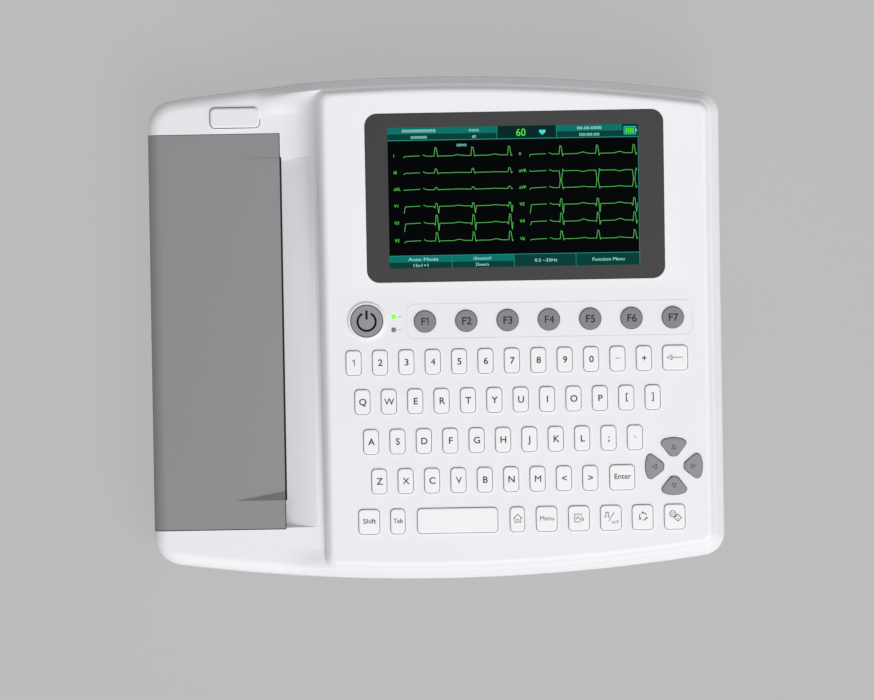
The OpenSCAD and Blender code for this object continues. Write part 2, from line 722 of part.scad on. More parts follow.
// ---------- print head and paper ----------
module thermal_print_head() {
  color([0.86, 0.85, 0.8]) {
    box([head_x + 0.15, slit_y0 + 0.2, 28.4], [head_x + 1.15, slit_y1 - 0.2, 40.6]);
    // heater line
    box([head_x + 0.02, slit_y0 + 1, 34], [head_x + 0.3, slit_y1 - 1, 36.2]);
  }
}
module head_bracket() {
  back_x = head_x + 1.17;
  color([0.7, 0.71, 0.73]) difference() {
    union() {
      box([back_x, slit_y0 - 2, 28.4], [head_x + 4.6, slit_y1 + 2, 40.4]);
      box([back_x, slit_y0 - 2, 28.4], [-74, slit_y1 + 2, 30]);
      // fins
      for (i = [0 : 12])
        box([head_x + 4.4, slit_y0 + 4 + i * 16, 29.8], [head_x + 8, slit_y0 + 5.6 + i * 16, 38]);
    }
    for (y = [-60, 60]) box([head_x + 12, y - 6, 27], [-79, y + 6, 31]);
  }
}
module head_springs() {
  color(spring_steel) for (y = [-84, 84]) translate([-79, y, 30.02]) {
    cylinder(r = 2.4, h = 0.6, $fn = 24);
    coil(radius = 2.4, wire = 0.35, pitch = 2.1, turns = 4);
  }
}
module paper_bin() {
  color([0.34, 0.35, 0.37]) {
    difference() {
      box([-158.6, paper_y - 107.2, 5.7], [-112.4, paper_y + 107.2, 32]);
      box([-157, paper_y - 105.4, 7], [-114, paper_y + 105.4, 40]);
      bar_y(roll_x, 38, 13, -130, 130);
    }
    // cheeks that keep the roll straight
    for (y = [-105.6, 104.4]) bar_y(roll_x, roll_z - 6, 5, paper_y + y, paper_y + y + 1.2, 32);
  }
}
// tube as long as the paper is wide
module paper_tube(radius, bore, sides) {
  difference() {
    bar_y(roll_x, roll_z, radius, paper_y - paper_w / 2, paper_y + paper_w / 2, sides);
    bar_y(roll_x, roll_z, bore, -130, 130);
  }
}
module paper_roll() { color([0.96, 0.96, 0.95]) paper_tube(roll_r, core_r + 0.01, 96); }
module roll_core() { color([0.62, 0.5, 0.36]) paper_tube(core_r, core_r - 1.6, 48); }

// ---------- display ----------
module screen_window() {
  color([0.27, 0.27, 0.28]) on_disp() tile(window_at, -1.66, [win_w, win_h], 7.5, 1.6, 4);
}
module lcd_module() {
  color([0.2, 0.32, 0.3]) on_disp() difference() {
    union() {
      tile(lcd_at, -10.4, [165, 100], 1.5, 5.8, 1);
      tile(lcd_at, -12.2, [188, 92], 3, 1.78, 1);       // mounting plate
      tile(lcd_at, -11, [150, 80], 3, 3, 1);
      tile(lcd_at, -5, [lit_w, lit_h], 0.5, 3.2, 1);    // lit area
    }
    for (at = lcd_holes) post(at, -14, 1.3, 6);
  }
}

// ---------- electronics ----------
module board(low, high) {
  box([low[0], low[1], board_z], [high[0], high[1], board_z + board_t]);
}
// box-shaped component standing on a board
module part(low, high, top) { box([low[0], low[1], part_z], [high[0], high[1], top]); }
module board_holes(places) { for (at = places) post(at, 11, 1.6, 5); }

module main_board() {
  color(board_green) difference() {
    union() {
      board([-55, -60], [98, 50]);
      board([40, 49], [98, 136]);
      part([0, -30], [28, -2], 15.4);
      part([40, -40], [58, -22], 15);
      part([40, -14], [58, 4], 15);
      part([-40, -20], [-22, 6], 15.6);
      for (i = [0 : 3]) post([-44 + i * 12, 32], part_z, 4, 9);
      part([70, -50], [76, -20], 18);
      part([-20, 22], [20, 27], 19);
    }
    board_holes(main_holes);
  }
}
module ecg_board() {
  color([0.12, 0.32, 0.5]) difference() {
    union() {
      board([102, -46], [165.4, 56]);
      // hollow screening can
      difference() {
        part([110, -34], [152, 44], 23);
        box([110.6, -33.4, 13.7], [151.4, 43.4, 22.4]);
      }
    }
    board_holes(ecg_holes);
    // notch for the lead connector
    box([160.9, ecg_y - 20.1, 11], [170, ecg_y + 20.1, 15]);
  }
}
module power_supply() {
  color([0.55, 0.42, 0.24]) difference() {
    union() {
      board([-62, 62], [32, 122]);
      part([-20, 74], [12, 104], 34);
      post([-42, 92], part_z, 9, 24, 40);
      for (i = [0 : 2]) post([22, 78 + i * 12], part_z, 4.5, 16);
      part([-56, 74], [-53, 110], 36);
      part([-34, 110], [-6, 116], 24);
    }
    board_holes(supply_holes);
  }
}
module battery_pack() {
  color([0.2, 0.35, 0.6]) {
    tile(battery_at, foot_h + 2.6, [104, 52], 3, 21);
    tile(battery_at, foot_h + 23.1, [30, 10], 1, 2, 1);
  }
}
module battery_door() {
  skin = 1.36;
  color(shell_grey) difference() {
    union() {
      tile(battery_at, foot_h, [111.4, 59.4], 2.7, skin);
      tile(battery_at, foot_h + 1.2, [100, 48], 2, 1.2, 1);
      // screw tab
      post(battery_screw_at, foot_h, 3.9, skin, 32);
      box([battery_screw_at[0] - 3.9, -68.4, foot_h],
          [battery_screw_at[0] + 3.9, battery_screw_at[1], foot_h + skin]);
    }
    // grooves
    for (i = [-2 : 2])
      block([battery_at[0], -110 + i * 3], [60, 1], foot_h - 1, foot_h + 0.5);
    post(battery_screw_at, foot_h - 1, 1.35, 4, 32);
    post(battery_screw_at, foot_h - 1, 2.7, 1.8, 32);
  }
}
module speaker() {
  color([0.16, 0.16, 0.17]) translate([speaker_at[0], speaker_at[1], floor_z + 0.02]) {
    difference() {
      cylinder(r = 20, h = 4, $fn = 64);
      translate([0, 0, -1]) cylinder(r = 18, h = 3.4, $fn = 64);
    }
    translate([0, 0, 3.9]) cylinder(r1 = 17, r2 = 10, h = 3, $fn = 64);
    translate([0, 0, 6.8]) cylinder(r = 9, h = 5, $fn = 48);
  }
}
module ribbon_cables() {
  color([0.8, 0.8, 0.82]) {
    // print head flex to the main board
    box([-73.8, -20, 27.6], [-60, 20, 28]);
    box([-60.4, -20, 19.4], [-60, 20, 28]);
    box([-60.4, -20, 19], [-32, 20, 19.4]);
    // display cable
    extrude_x([[24.6, 19.2], [25, 19.2], [25, 50], [60, 54.4], [60, 54.8], [24.6, 50.4]], -12, 12);
  }
}

// ---------- sockets ----------
module ac_inlet() {
  color(socket_black) difference() {
    union() {
      box([inlet[0], 128, 8.2], [inlet[1], socket_y, inlet[2]]);
      box([inlet[0] - 2, 144, 8.5], [inlet[1] + 2, 147, 27]);
    }
    // cavity, less its three blades
    difference() {
      box([-51.4, 134, 10.6], [-28.6, 160, 23.6]);
      for (q = [[-47, 17.4], [-40, 14.6], [-33, 17.4]])
        box([q[0] - 1, 130, q[1] - 2], [q[0] + 1, 147, q[1] + 2]);
    }
  }
}
module earth_stud() {
  color([0.8, 0.72, 0.45]) {
    bar_y(earth_x, earth_z, 3, 141, 151, 32);
    bar_y(earth_x, earth_z, 2.5, 132.2, 141.2, 32);
    bar_y(earth_x, earth_z, 6, 133.9, 136.9, 6);        // nut
  }
}
module ecg_connector() {
  pin_pitch = 2.8;
  color(steel) {
    difference() {
      box([161, ecg_y - 20, 11.2], [172.4, ecg_y + 20, 24.2]);
      box([164.5, ecg_y - 13, 13.4], [180, ecg_y + 13, 22]);
      for (side = [-1, 1]) bar_x(ecg_y + side * 16.6, 17.7, 1.5, 163, 180, 24);
    }
    // two rows of pins
    for (i = [-3.5 : 3.5]) bar_x(ecg_y + i * pin_pitch, 19.2, 0.5, 163, 169.4, 16);
    for (i = [-3 : 3]) bar_x(ecg_y + i * pin_pitch, 16.2, 0.5, 163, 169.4, 16);
    box([155, ecg_y - 14, 13.8], [161.5, ecg_y + 14, 18]);
  }
}
module usb_ports() {
  color([0.72, 0.72, 0.74]) difference() {
    box([usb[0], 128, 13.8], [usb[1], socket_y, usb[2]]);
    box([usb[0] + 1, 136, 14.6], [usb[1] - 1, 160, 19.6]);
  }
  // tongue
  color(socket_black) box([75.6, 129, 16.6], [86.8, 149, 17.8]);
}
module lan_port() {
  color([0.74, 0.74, 0.76]) difference() {
    box([lan[0], 128, 13.8], [lan[1], socket_y, lan[2]]);
    box([52, 138, 14.8], [64.4, 160, 22]);
    box([55, 138, 21], [61.4, 160, 23.2]);
  }
}

// ---------- keyboard ----------
module keyboard_board() {
  color(board_green) on_keys() difference() {
    union() {
      box([-65, -131.8, -9.6], [162, 19, -8]);
      box([40, -20, -13], [70, -10, -9.5]);
      box([-30, -60, -12], [-10, -40, -9.5]);
    }
    for (at = key_posts) post(at, -11, 1.3, 5);
    for (at = boss_notches) post(at, -11, 4.8, 5, 32);
  }
}
// rubber dome under a key
module dome(at) {
  translate([at[0], at[1], -7.1]) cylinder(r1 = 3.6, r2 = 2.4, h = 1.3, $fn = 24);
}
module keypad_membrane() {
  color([0.75, 0.76, 0.78]) on_keys() difference() {
    union() {
      box([-64.6, -126.4, -7.96], [161.6, 18.4, -7]);
      for (at = concat(all_keys, f_keys_at, [power_at])) dome(at);
      for (a = [0 : 3])
        translate([pad_at[0], pad_at[1], 0]) rotate([0, 0, 90 * a]) dome([arrow_reach, 0]);
    }
    for (at = leds_at) post(at, -9, 2.6, 4);
    for (i = [3 : 5]) post(key_posts[i], -9, 2.8, 4);
    post(boss_notches[0], -9, 4.8, 5, 32);
  }
}
module plunger(at) { post(at, -4.4, 2.6, 1); }
module caps(keys) {
  color([0.96, 0.96, 0.97]) on_keys() for (k = keys) {
    size = [k[2], k[3]];
    hull() {
      tile(k, -3, size, 2.3, key_up + 2.5);
      tile(k, key_up - 0.1, size - [1.2, 1.2], 1.8, 0.1);
    }
    // retaining flange
    tile(k, -3.8, size + [2.4, 2.4], 2.6, 1, 1);
    plunger(k);
  }
}
module digit_row_keys() { caps(digit_row); }
module q_row_keys() { caps(q_row); }
module a_row_keys() { caps(a_row); }
module z_row_keys() { caps(z_row); }
module bottom_row_keys() { caps(bottom_row); }
module backspace_key() { caps(backspace); }
module enter_key() { caps(enter); }
module space_key() { caps(space); }

module round_key(at, radius, rise, tint) {
  color(tint) on_keys() {
    post(at, -3, radius, 3 + rise - 0.5, 48);
    translate([at[0], at[1], rise - 0.5]) cylinder(r1 = radius, r2 = radius - 0.7, h = 0.5, $fn = 48);
    post(at, -3.8, radius + 1.2, 1, 48);
    plunger(at);
  }
}
module power_button() { round_key(power_at, power_r, 1.5, [0.56, 0.56, 0.58]); }
module f_key(i) { round_key(f_keys_at[i], f_r, 1.3, [0.5, 0.5, 0.52]); }
module f1_key() { f_key(0); }
module f2_key() { f_key(1); }
module f3_key() { f_key(2); }
module f4_key() { f_key(3); }
module f5_key() { f_key(4); }
module f6_key() { f_key(5); }
module f7_key() { f_key(6); }

// wedge pointing at the pad centre, with a bowed outer side: its left half, x and y, then mirrored
function arrow_points(grow) = let(half = [
    [6.2 - grow, 1.2 + grow * 0.3], [6.9 - grow, 2.3 + grow],
    [12.4, 6.8 + grow * 1.1], [14.4, 7.45 + grow],
    [16 + grow * 0.6, 6.6 + grow * 0.7], [16.9 + grow, 4], [17.25 + grow, 1.4]])
  concat(half, flip(half));
module arrow(angle) {
  color([0.49, 0.49, 0.5]) on_keys()
    translate([pad_at[0], pad_at[1], 0]) rotate([0, 0, angle]) {
      layer(-3, arrow_points(0), 3 + 1.3);
      translate([9, -4, -4.2]) cube([7, 8, 1.4]);
      plunger([arrow_reach, 0]);
    }
}
module arrow_right_key() { arrow(0); }
module arrow_up_key() { arrow(90); }
module arrow_left_key() { arrow(180); }
module arrow_down_key() { arrow(270); }
module status_leds() {
  color([0.5, 0.85, 0.5]) on_keys() for (at = leds_at) {
    post(at, -7, 1.5, 7.1, 32);
    post(at, -7.9, 2.2, 1);
  }
}

bottom_case();
top_case();
printer_cover();
hinge_pin();
door_release_button();
latch_hook();
latch_spring();
platen_roller();
platen_shaft();
platen_bushes();
platen_gear();
idler_gear();
drive_plate();
stepper_motor();
motor_pinion();
thermal_print_head();
head_bracket();
head_springs();
paper_bin();
paper_roll();
roll_core();
screen_window();
lcd_module();
main_board();
ecg_board();
power_supply();
battery_pack();
battery_door();
keyboard_board();
keypad_membrane();
rubber_feet();
case_screws();
ac_inlet();
earth_stud();
ecg_connector();
usb_ports();
lan_port();
status_leds();
speaker();
ribbon_cables();
power_button();
f1_key();
f2_key();
f3_key();
f4_key();
f5_key();
f6_key();
f7_key();
arrow_up_key();
arrow_right_key();
arrow_down_key();
arrow_left_key();
digit_row_keys();
q_row_keys();
a_row_keys();
z_row_keys();
bottom_row_keys();
backspace_key();
enter_key();
space_key();
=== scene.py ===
"""A desktop ECG recorder lying flat, seen from straight above.

+X is right, +Y is the back and +Z is up. The printer, its door and its release button are on the
left; the raised body (the plateau) is on the right. Its top folds along a crease that runs along X:
the keyboard slopes down to the front of it, and the steeper display rises behind it.
Lengths are in mm and become metres where meshes are made.
"""
import bpy, bmesh, math, json
from mathutils import Vector, Matrix


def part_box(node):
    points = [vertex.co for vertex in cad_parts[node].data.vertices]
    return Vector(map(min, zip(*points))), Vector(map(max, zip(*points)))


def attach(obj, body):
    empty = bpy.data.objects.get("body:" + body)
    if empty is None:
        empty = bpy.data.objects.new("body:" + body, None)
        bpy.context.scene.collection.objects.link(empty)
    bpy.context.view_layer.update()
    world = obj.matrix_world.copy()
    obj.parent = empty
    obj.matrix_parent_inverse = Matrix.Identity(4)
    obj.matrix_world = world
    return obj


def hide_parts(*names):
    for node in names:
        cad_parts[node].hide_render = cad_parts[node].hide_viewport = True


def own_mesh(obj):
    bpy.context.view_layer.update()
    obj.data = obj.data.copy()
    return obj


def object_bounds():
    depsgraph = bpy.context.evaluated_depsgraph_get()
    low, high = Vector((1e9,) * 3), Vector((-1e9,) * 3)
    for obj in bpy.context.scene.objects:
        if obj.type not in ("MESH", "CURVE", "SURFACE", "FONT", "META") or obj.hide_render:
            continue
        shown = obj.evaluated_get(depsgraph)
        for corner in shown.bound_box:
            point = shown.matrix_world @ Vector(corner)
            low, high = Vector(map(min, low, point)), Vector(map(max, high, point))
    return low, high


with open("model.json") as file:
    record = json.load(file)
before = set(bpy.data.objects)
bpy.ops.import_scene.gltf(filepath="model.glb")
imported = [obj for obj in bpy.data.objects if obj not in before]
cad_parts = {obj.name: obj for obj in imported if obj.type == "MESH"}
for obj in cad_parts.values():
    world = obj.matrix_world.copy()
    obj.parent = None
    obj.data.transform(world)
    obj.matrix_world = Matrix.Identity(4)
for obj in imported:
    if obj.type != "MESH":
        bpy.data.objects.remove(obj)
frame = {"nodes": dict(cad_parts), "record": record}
CAD_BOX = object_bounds()
MM = 0.001
NODES = frame["nodes"]
BODY_OF = {node: body for body, nodes in frame["record"]["behaviour"]["bodies"].items()
           for node in nodes}


def as_list(b):
    return [[float(x) for x in b[0]], [float(x) for x in b[1]]]


def box_mm(node):
    return [[v / MM for v in corner] for corner in as_list(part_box(node))]


def centre(node):
    low, high = as_list(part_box(node))
    return [(low[i] + high[i]) / 2 / MM for i in range(3)]


# ---------------------------------------------------------------- driving sizes
BOX_LOW, BOX_HIGH = as_list(CAD_BOX)
HALF_W = (BOX_HIGH[0] - BOX_LOW[0]) / 2 / MM
BODY_DEPTH = (BOX_HIGH[1] - BOX_LOW[1]) / MM
BOW_R = 1145.0                    # radius of the bowed front and back
CORNER_LEFT, CORNER_RIGHT = 17.0, 14.0
SEAM_Z, DECK_Z, WALL = 28.0, 50.0, 2.5
PLATEAU_X, PLATEAU_R = -70.2, 5.0  # left end of the plateau and its plan corner radius
CREASE_Y, CREASE_Z = 21.5, 64.3
KEY_DEG, DISPLAY_DEG = 2.5, 8.5
KEY_SLOPE, DISPLAY_SLOPE = (math.tan(math.radians(deg)) for deg in (KEY_DEG, DISPLAY_DEG))
EDGE_R = 8.0                      # rounding of the deck edge
SHOULDER_IN = 5.2                 # inset where the shoulder ends
ARC_STEPS, BOW_STEPS = 10, 40

(_, DOOR_Y0, _), (DOOR_X, DOOR_Y1, _) = box_mm("printer_cover")
DOOR_Y0 = as_list(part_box("printer_cover"))[0][1] / MM
SLIT_Y0, SLIT_Y1, SLIT_W = -103.2, 105.8, 1.2
SCOOP = 4.8                       # depth of the hollow at the slit
RUNOUT = PLATEAU_X - 4.2 - DOOR_X - SLIT_W  # length of the hollow, rightward from the slit
HINGE_X, HINGE_Z = -HALF_W + 2.5, SEAM_Z
BUTTON = (-120.2, 130.0)          # centre of the door release button

DISPLAY_X = centre("screen_window")[0]
# the window's centre measured along the sloping display
DISPLAY_V = (CREASE_Y + (centre("screen_window")[1] - CREASE_Y)
             / math.cos(math.radians(DISPLAY_DEG)))


# ---------------------------------------------------------------- plan outlines
def bow(x, inset):
    return math.sqrt((BOW_R - inset) ** 2 - x * x) - BOW_R + BODY_DEPTH / 2


def arc(x, y, radius, start, end):
    angles = [start + (end - start) * i / ARC_STEPS for i in range(ARC_STEPS + 1)]
    return [(x + radius * math.cos(a), y + radius * math.sin(a)) for a in angles]


def mirrored(points):
    return [(x, -y) for x, y in reversed(points)]


def plan_outline(inset, left_x=None):
    """The plateau's outline with its left end at left_x, or the whole body's without it.

    The number of points is the same every time, so outlines can be lofted."""
    x = HALF_W - CORNER_RIGHT
    y = bow(x, CORNER_RIGHT)
    turn = math.atan2(y - BODY_DEPTH / 2 + BOW_R, x)
    right = arc(x, y, max(0.3, CORNER_RIGHT - inset), 0, turn)
    bow_right = (BOW_R - inset) * math.cos(turn)
    if left_x is None:
        x = -HALF_W + CORNER_LEFT
        y = bow(x, CORNER_LEFT)
        turn = math.atan2(y - BODY_DEPTH / 2 + BOW_R, x)
        left = arc(x, y, max(0.3, CORNER_LEFT - inset), turn, math.pi)
        bow_left, end_x = (BOW_R - inset) * math.cos(turn), -HALF_W + inset
    else:
        bow_left, end_x = left_x + PLATEAU_R, left_x
        left = arc(bow_left, bow(bow_left, inset) - PLATEAU_R, PLATEAU_R, math.pi / 2, math.pi)
    bow_xs = [bow_right + (bow_left - bow_right) * i / BOW_STEPS for i in range(1, BOW_STEPS)]
    back = [(x, bow(x, inset)) for x in bow_xs]
    return (mirrored(right) + [(HALF_W - inset, CREASE_Y)] + right + back + left
            + [(end_x, CREASE_Y)] + mirrored(left) + mirrored(back))


# where the two crease points stand in an outline
CREASE_RIGHT = ARC_STEPS + 1
CREASE_LEFT = (ARC_STEPS + 1) * 2 + 1 + (BOW_STEPS - 1) + ARC_STEPS + 1


def slope_z(x, y, drop):
    slope = KEY_SLOPE if y < CREASE_Y else DISPLAY_SLOPE
    return CREASE_Z + (y - CREASE_Y) * slope - drop


def slope_rows(stations):
    """Rows that follow the sloping top, from (inset, drop, left end)."""
    return [[(x, y, slope_z(x, y, drop)) for x, y in plan_outline(inset, left_x)]
            for inset, drop, left_x in stations]


def flat_row(inset, z, left_x=None):
    return [(x, y, z) for x, y in plan_outline(inset, left_x)]


def rounded(width, depth, radius, steps=6, x=0, y=0):
    """Rounded rectangle centred on x, y."""
    points = []
    for quarter in range(4):
        side = 1 if quarter in (0, 3) else -1
        end = 1 if quarter < 2 else -1
        for i in range(steps + 1):
            a = quarter * math.pi / 2 + i * math.pi / 2 / steps
            points.append((x + side * (width / 2 - radius) + radius * math.cos(a),
                           y + end * (depth / 2 - radius) + radius * math.sin(a)))
    return points


def circle(radius, x=0, y=0, steps=64):
    return [(x + radius * math.cos(2 * math.pi * i / steps),
             y + radius * math.sin(2 * math.pi * i / steps)) for i in range(steps)]


# ---------------------------------------------------------------- solids
def outward(solid):
    bmesh.ops.recalc_face_normals(solid, faces=solid.faces)


def add_row(solid, points):
    return [solid.verts.new((p[0] * MM, p[1] * MM, p[2] * MM)) for p in points]


def skin(solid, lower, upper):
    """Faces between two closed rings of vertices."""
    count = len(lower)
    for i in range(count):
        j = (i + 1) % count
        solid.faces.new((lower[i], lower[j], upper[j], upper[i]))


def loft(rows, creased=False, place=None):
    """Closed solid through rows of equal length. creased splits the end caps at the crease."""
    solid = bmesh.new()
    rings = [add_row(solid, row) for row in rows]
    for lower, upper in zip(rings, rings[1:]):
        skin(solid, lower, upper)
    for ring, flip in ((rings[0], True), (rings[-1], False)):
        parts = [ring]
        if creased:
            parts = [ring[CREASE_RIGHT:CREASE_LEFT + 1],
                     ring[CREASE_LEFT:] + ring[:CREASE_RIGHT + 1]]
        for part in parts:
            solid.faces.new(list(reversed(part)) if flip else part)
    if place is not None:
        solid.transform(place)
    outward(solid)
    return solid


def prism(points, z0, z1, place=None):
    return loft([[(x, y, z) for x, y in points] for z in (z0, z1)], place=place)


def block(low, high):
    return prism([(low[0], low[1]), (high[0], low[1]), (high[0], high[1]), (low[0], high[1])],
                 low[2], high[2])


def along_y(x=0, z=0):
    """Turns a prism's length onto Y, with its section in XZ about x, z."""
    return Matrix(((1, 0, 0, x * MM), (0, 0, 1, 0), (0, 1, 0, z * MM), (0, 0, 0, 1)))


def run_y(section, y0, y1):
    """XZ section drawn out along Y."""
    solid = prism(section, y0, y1, along_y())
    outward(solid)  # again, now that the faces have normals to start from
    return solid


def slanted(corners):
    """XZ section drawn out along Y. Corners are (x, z, y at one end, y at the other)."""
    solid = bmesh.new()
    near = add_row(solid, [(x, y0, z) for x, z, y0, _ in corners])
    far = add_row(solid, [(x, y1, z) for x, z, _, y1 in corners])
    skin(solid, near, far)
    for ring in (near, far):
        for i in range(1, len(ring) - 1):
            solid.faces.new((ring[0], ring[i], ring[i + 1]))
    outward(solid)
    return solid


def merge(target, *others):
    for other in others:
        mesh = bpy.data.meshes.new("tmp")
        other.to_mesh(mesh)
        other.free()
        target.from_mesh(mesh)
        bpy.data.meshes.remove(mesh)
    return target


def link(name, data):
    obj = bpy.data.objects.new(name, data)
    bpy.context.scene.collection.objects.link(obj)
    return obj


def link_solid(name, solid):
    mesh = bpy.data.meshes.new(name)
    solid.to_mesh(mesh)
    solid.free()
    return link(name, mesh)


def evaluated_mesh(obj):
    bpy.context.view_layer.update()
    graph = bpy.context.evaluated_depsgraph_get()
    return bpy.data.meshes.new_from_object(obj.evaluated_get(graph))


def boolean(solid, cutters, operation="DIFFERENCE"):
    """The solid with every cutter taken away, or joined on for UNION."""
    obj = link_solid("bool_a", solid)
    for cutter in cutters:
        step = obj.modifiers.new("cut", "BOOLEAN")
        step.operation = operation
        step.solver = "EXACT"
        step.object = link_solid("bool_c", cutter)
    mesh = evaluated_mesh(obj)
    result = bmesh.new()
    result.from_mesh(mesh)
    for step in list(obj.modifiers):
        cutter = step.object
        obj.modifiers.remove(step)
        bpy.data.objects.remove(cutter)
    bpy.data.objects.remove(obj)
    bpy.data.meshes.remove(mesh)
    bmesh.ops.remove_doubles(result, verts=result.verts, dist=1e-6)
    bmesh.ops.dissolve_degenerate(result, edges=result.edges, dist=1e-7)
    return result


def new_object(name, solid, smooth=True, sharp_deg=32):
    """Object from a solid, shaded smooth except over edges sharper than sharp_deg."""
    if smooth:
        for face in solid.faces:
            face.smooth = True
        limit = math.radians(sharp_deg)
        for edge in solid.edges:
            edge.smooth = len(edge.link_faces) == 2 and edge.calc_face_angle(0) < limit
    return link_solid(name, solid)


def bevel(obj, width, segments):
    edge = obj.modifiers.new("edge", "BEVEL")
    edge.width = width * MM
    edge.segments = segments
    edge.limit_method = "ANGLE"
    edge.angle_limit = math.radians(50)


def finish(obj, materials, body, replaced, weighted=True):
    for surface in materials:
        obj.data.materials.append(surface)
    if weighted:
        shading = obj.modifiers.new("weighted", "WEIGHTED_NORMAL")
        shading.keep_sharp = True
        shading.weight = 80
    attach(obj, body)
    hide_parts(replaced)
    return obj


def tilt(deg):
    """The plane through the crease, tilted by deg about it."""
    return (Matrix.Translation((0, CREASE_Y * MM, CREASE_Z * MM))
            @ Matrix.Rotation(math.radians(deg), 4, "X")
            @ Matrix.Translation((0, -CREASE_Y * MM, 0)))


KEY_PLANE, DISPLAY_PLANE = tilt(KEY_DEG), tilt(DISPLAY_DEG)

# ---------------------------------------------------------------- key layout, in the key plane
PITCH = 16.02
ROW_Y = [-20.5, -44.3, -68.6, -92.7, -117.2]
KEY_W, KEY_D, WIDE_W = 9.1, 15.0, 15.1


def key_row(x, row, letters):
    return [(x + i * PITCH, ROW_Y[row], KEY_W, KEY_D, label) for i, label in enumerate(letters)]


# keys as (x, y, width, depth, label)
ROWS = {
    "digit_row_keys": key_row(-50.4, 0, "1234567890-+"),
    "q_row_keys": key_row(-45.45, 1, "QWERTYUIOP[]"),
    "a_row_keys": key_row(-40.6, 2, "ASDFGHJKL;'"),
    "z_row_keys": key_row(-36.05, 3, "ZXCVBNM<>"),
    "backspace_key": [(144.8, ROW_Y[0], WIDE_W, KEY_D, "BACK")],
    "enter_key": [(111.5, ROW_Y[3], WIDE_W, 15.2, "Enter")],
    "space_key": [(11.1, ROW_Y[4], 48.8, 15.1, "")],
    "bottom_row_keys": [(x, ROW_Y[4], width, 15.1, label) for x, width, label in (
        (-42.6, 12.6, "Shift"), (-25.2, 8.7, "Tab"), (47.4, 8.7, "HOME"), (65.2, 12.5, "Menu"),
        (84.8, 12.5, "PAGE"), (104.2, 12.5, "PULSE"), (123.5, 12.5, "CYCLE"),
        (143.0, 12.5, "DUAL"))],
}
PAD = (143.05, -86.5)  # centre of the arrow pad
ARROWS = ("right", "up", "left", "down")
F_KEYS = [(-6.6 + 25.07 * i, 4.0) for i in range(7)]
POWER = (-42.0, 5.0)
LEDS = [(-25.5, 7.1), (-25.6, -0.8)]
F_R, POWER_R = 6.5, 9.6
KEY_UP, POWER_UP, PAD_UP = 1.4, 1.5, 1.3  # cap tops above the plane; F keys share PAD_UP
KEY_GAP = 0.34
PRINT_UP = 0.03                           # legends above their caps

# Back half of the right arrow key: x, y, and how far each moves per mm of growth
ARROW_HALF = (
    (6.2, 0.8, -1, 0.3), (6.4, 1.5, -1, 0.6), (6.9, 2.2, -1, 1), (9.0, 4.1, -0.5, 1),
    (11.0, 5.75, 0, 1), (12.4, 6.8, 0, 1.1), (13.3, 7.3, 0, 1), (14.3, 7.45, 0, 1),
    (15.25, 7.15, 0.5, 0.8), (15.95, 6.4, 0.7, 0.7), (16.5, 5.2, 1, 0), (16.95, 3.4, 1, 0),
    (17.25, 1.1, 1, 0))


def on_pad(points, quarter):
    """Points turned by quarter turns and set about the pad's centre."""
    angle = quarter * math.pi / 2
    cos, sin = math.cos(angle), math.sin(angle)
    return [(PAD[0] + x * cos - y * sin, PAD[1] + x * sin + y * cos) for x, y in points]


def arrow_outline(grow, quarter):
    half = [(x + dx * grow, y + dy * grow) for x, y, dx, dy in ARROW_HALF]
    return on_pad(half + mirrored(half), quarter)


def key_openings(gap):
    outlines = []
    for keys in ROWS.values():
        outlines += [rounded(width + 2 * gap, depth + 2 * gap, 2.5 + gap, 5, x, y)
                     for x, y, width, depth, _ in keys]
    outlines += [circle(F_R + gap, x, y, 48) for x, y in F_KEYS]
    outlines += [circle(POWER_R + gap, *POWER, 72)]
    outlines += [circle(1.55, x, y, 24) for x, y in LEDS]
    outlines += [arrow_outline(gap, quarter) for quarter in range(4)]
    return outlines


# ---------------------------------------------------------------- materials
def linear(value):
    value = value / 255.0
    return value / 12.92 if value <= 0.04045 else ((value + 0.055) / 1.055) ** 2.4


def srgb(red, green, blue):
    return (linear(red), linear(green), linear(blue), 1)


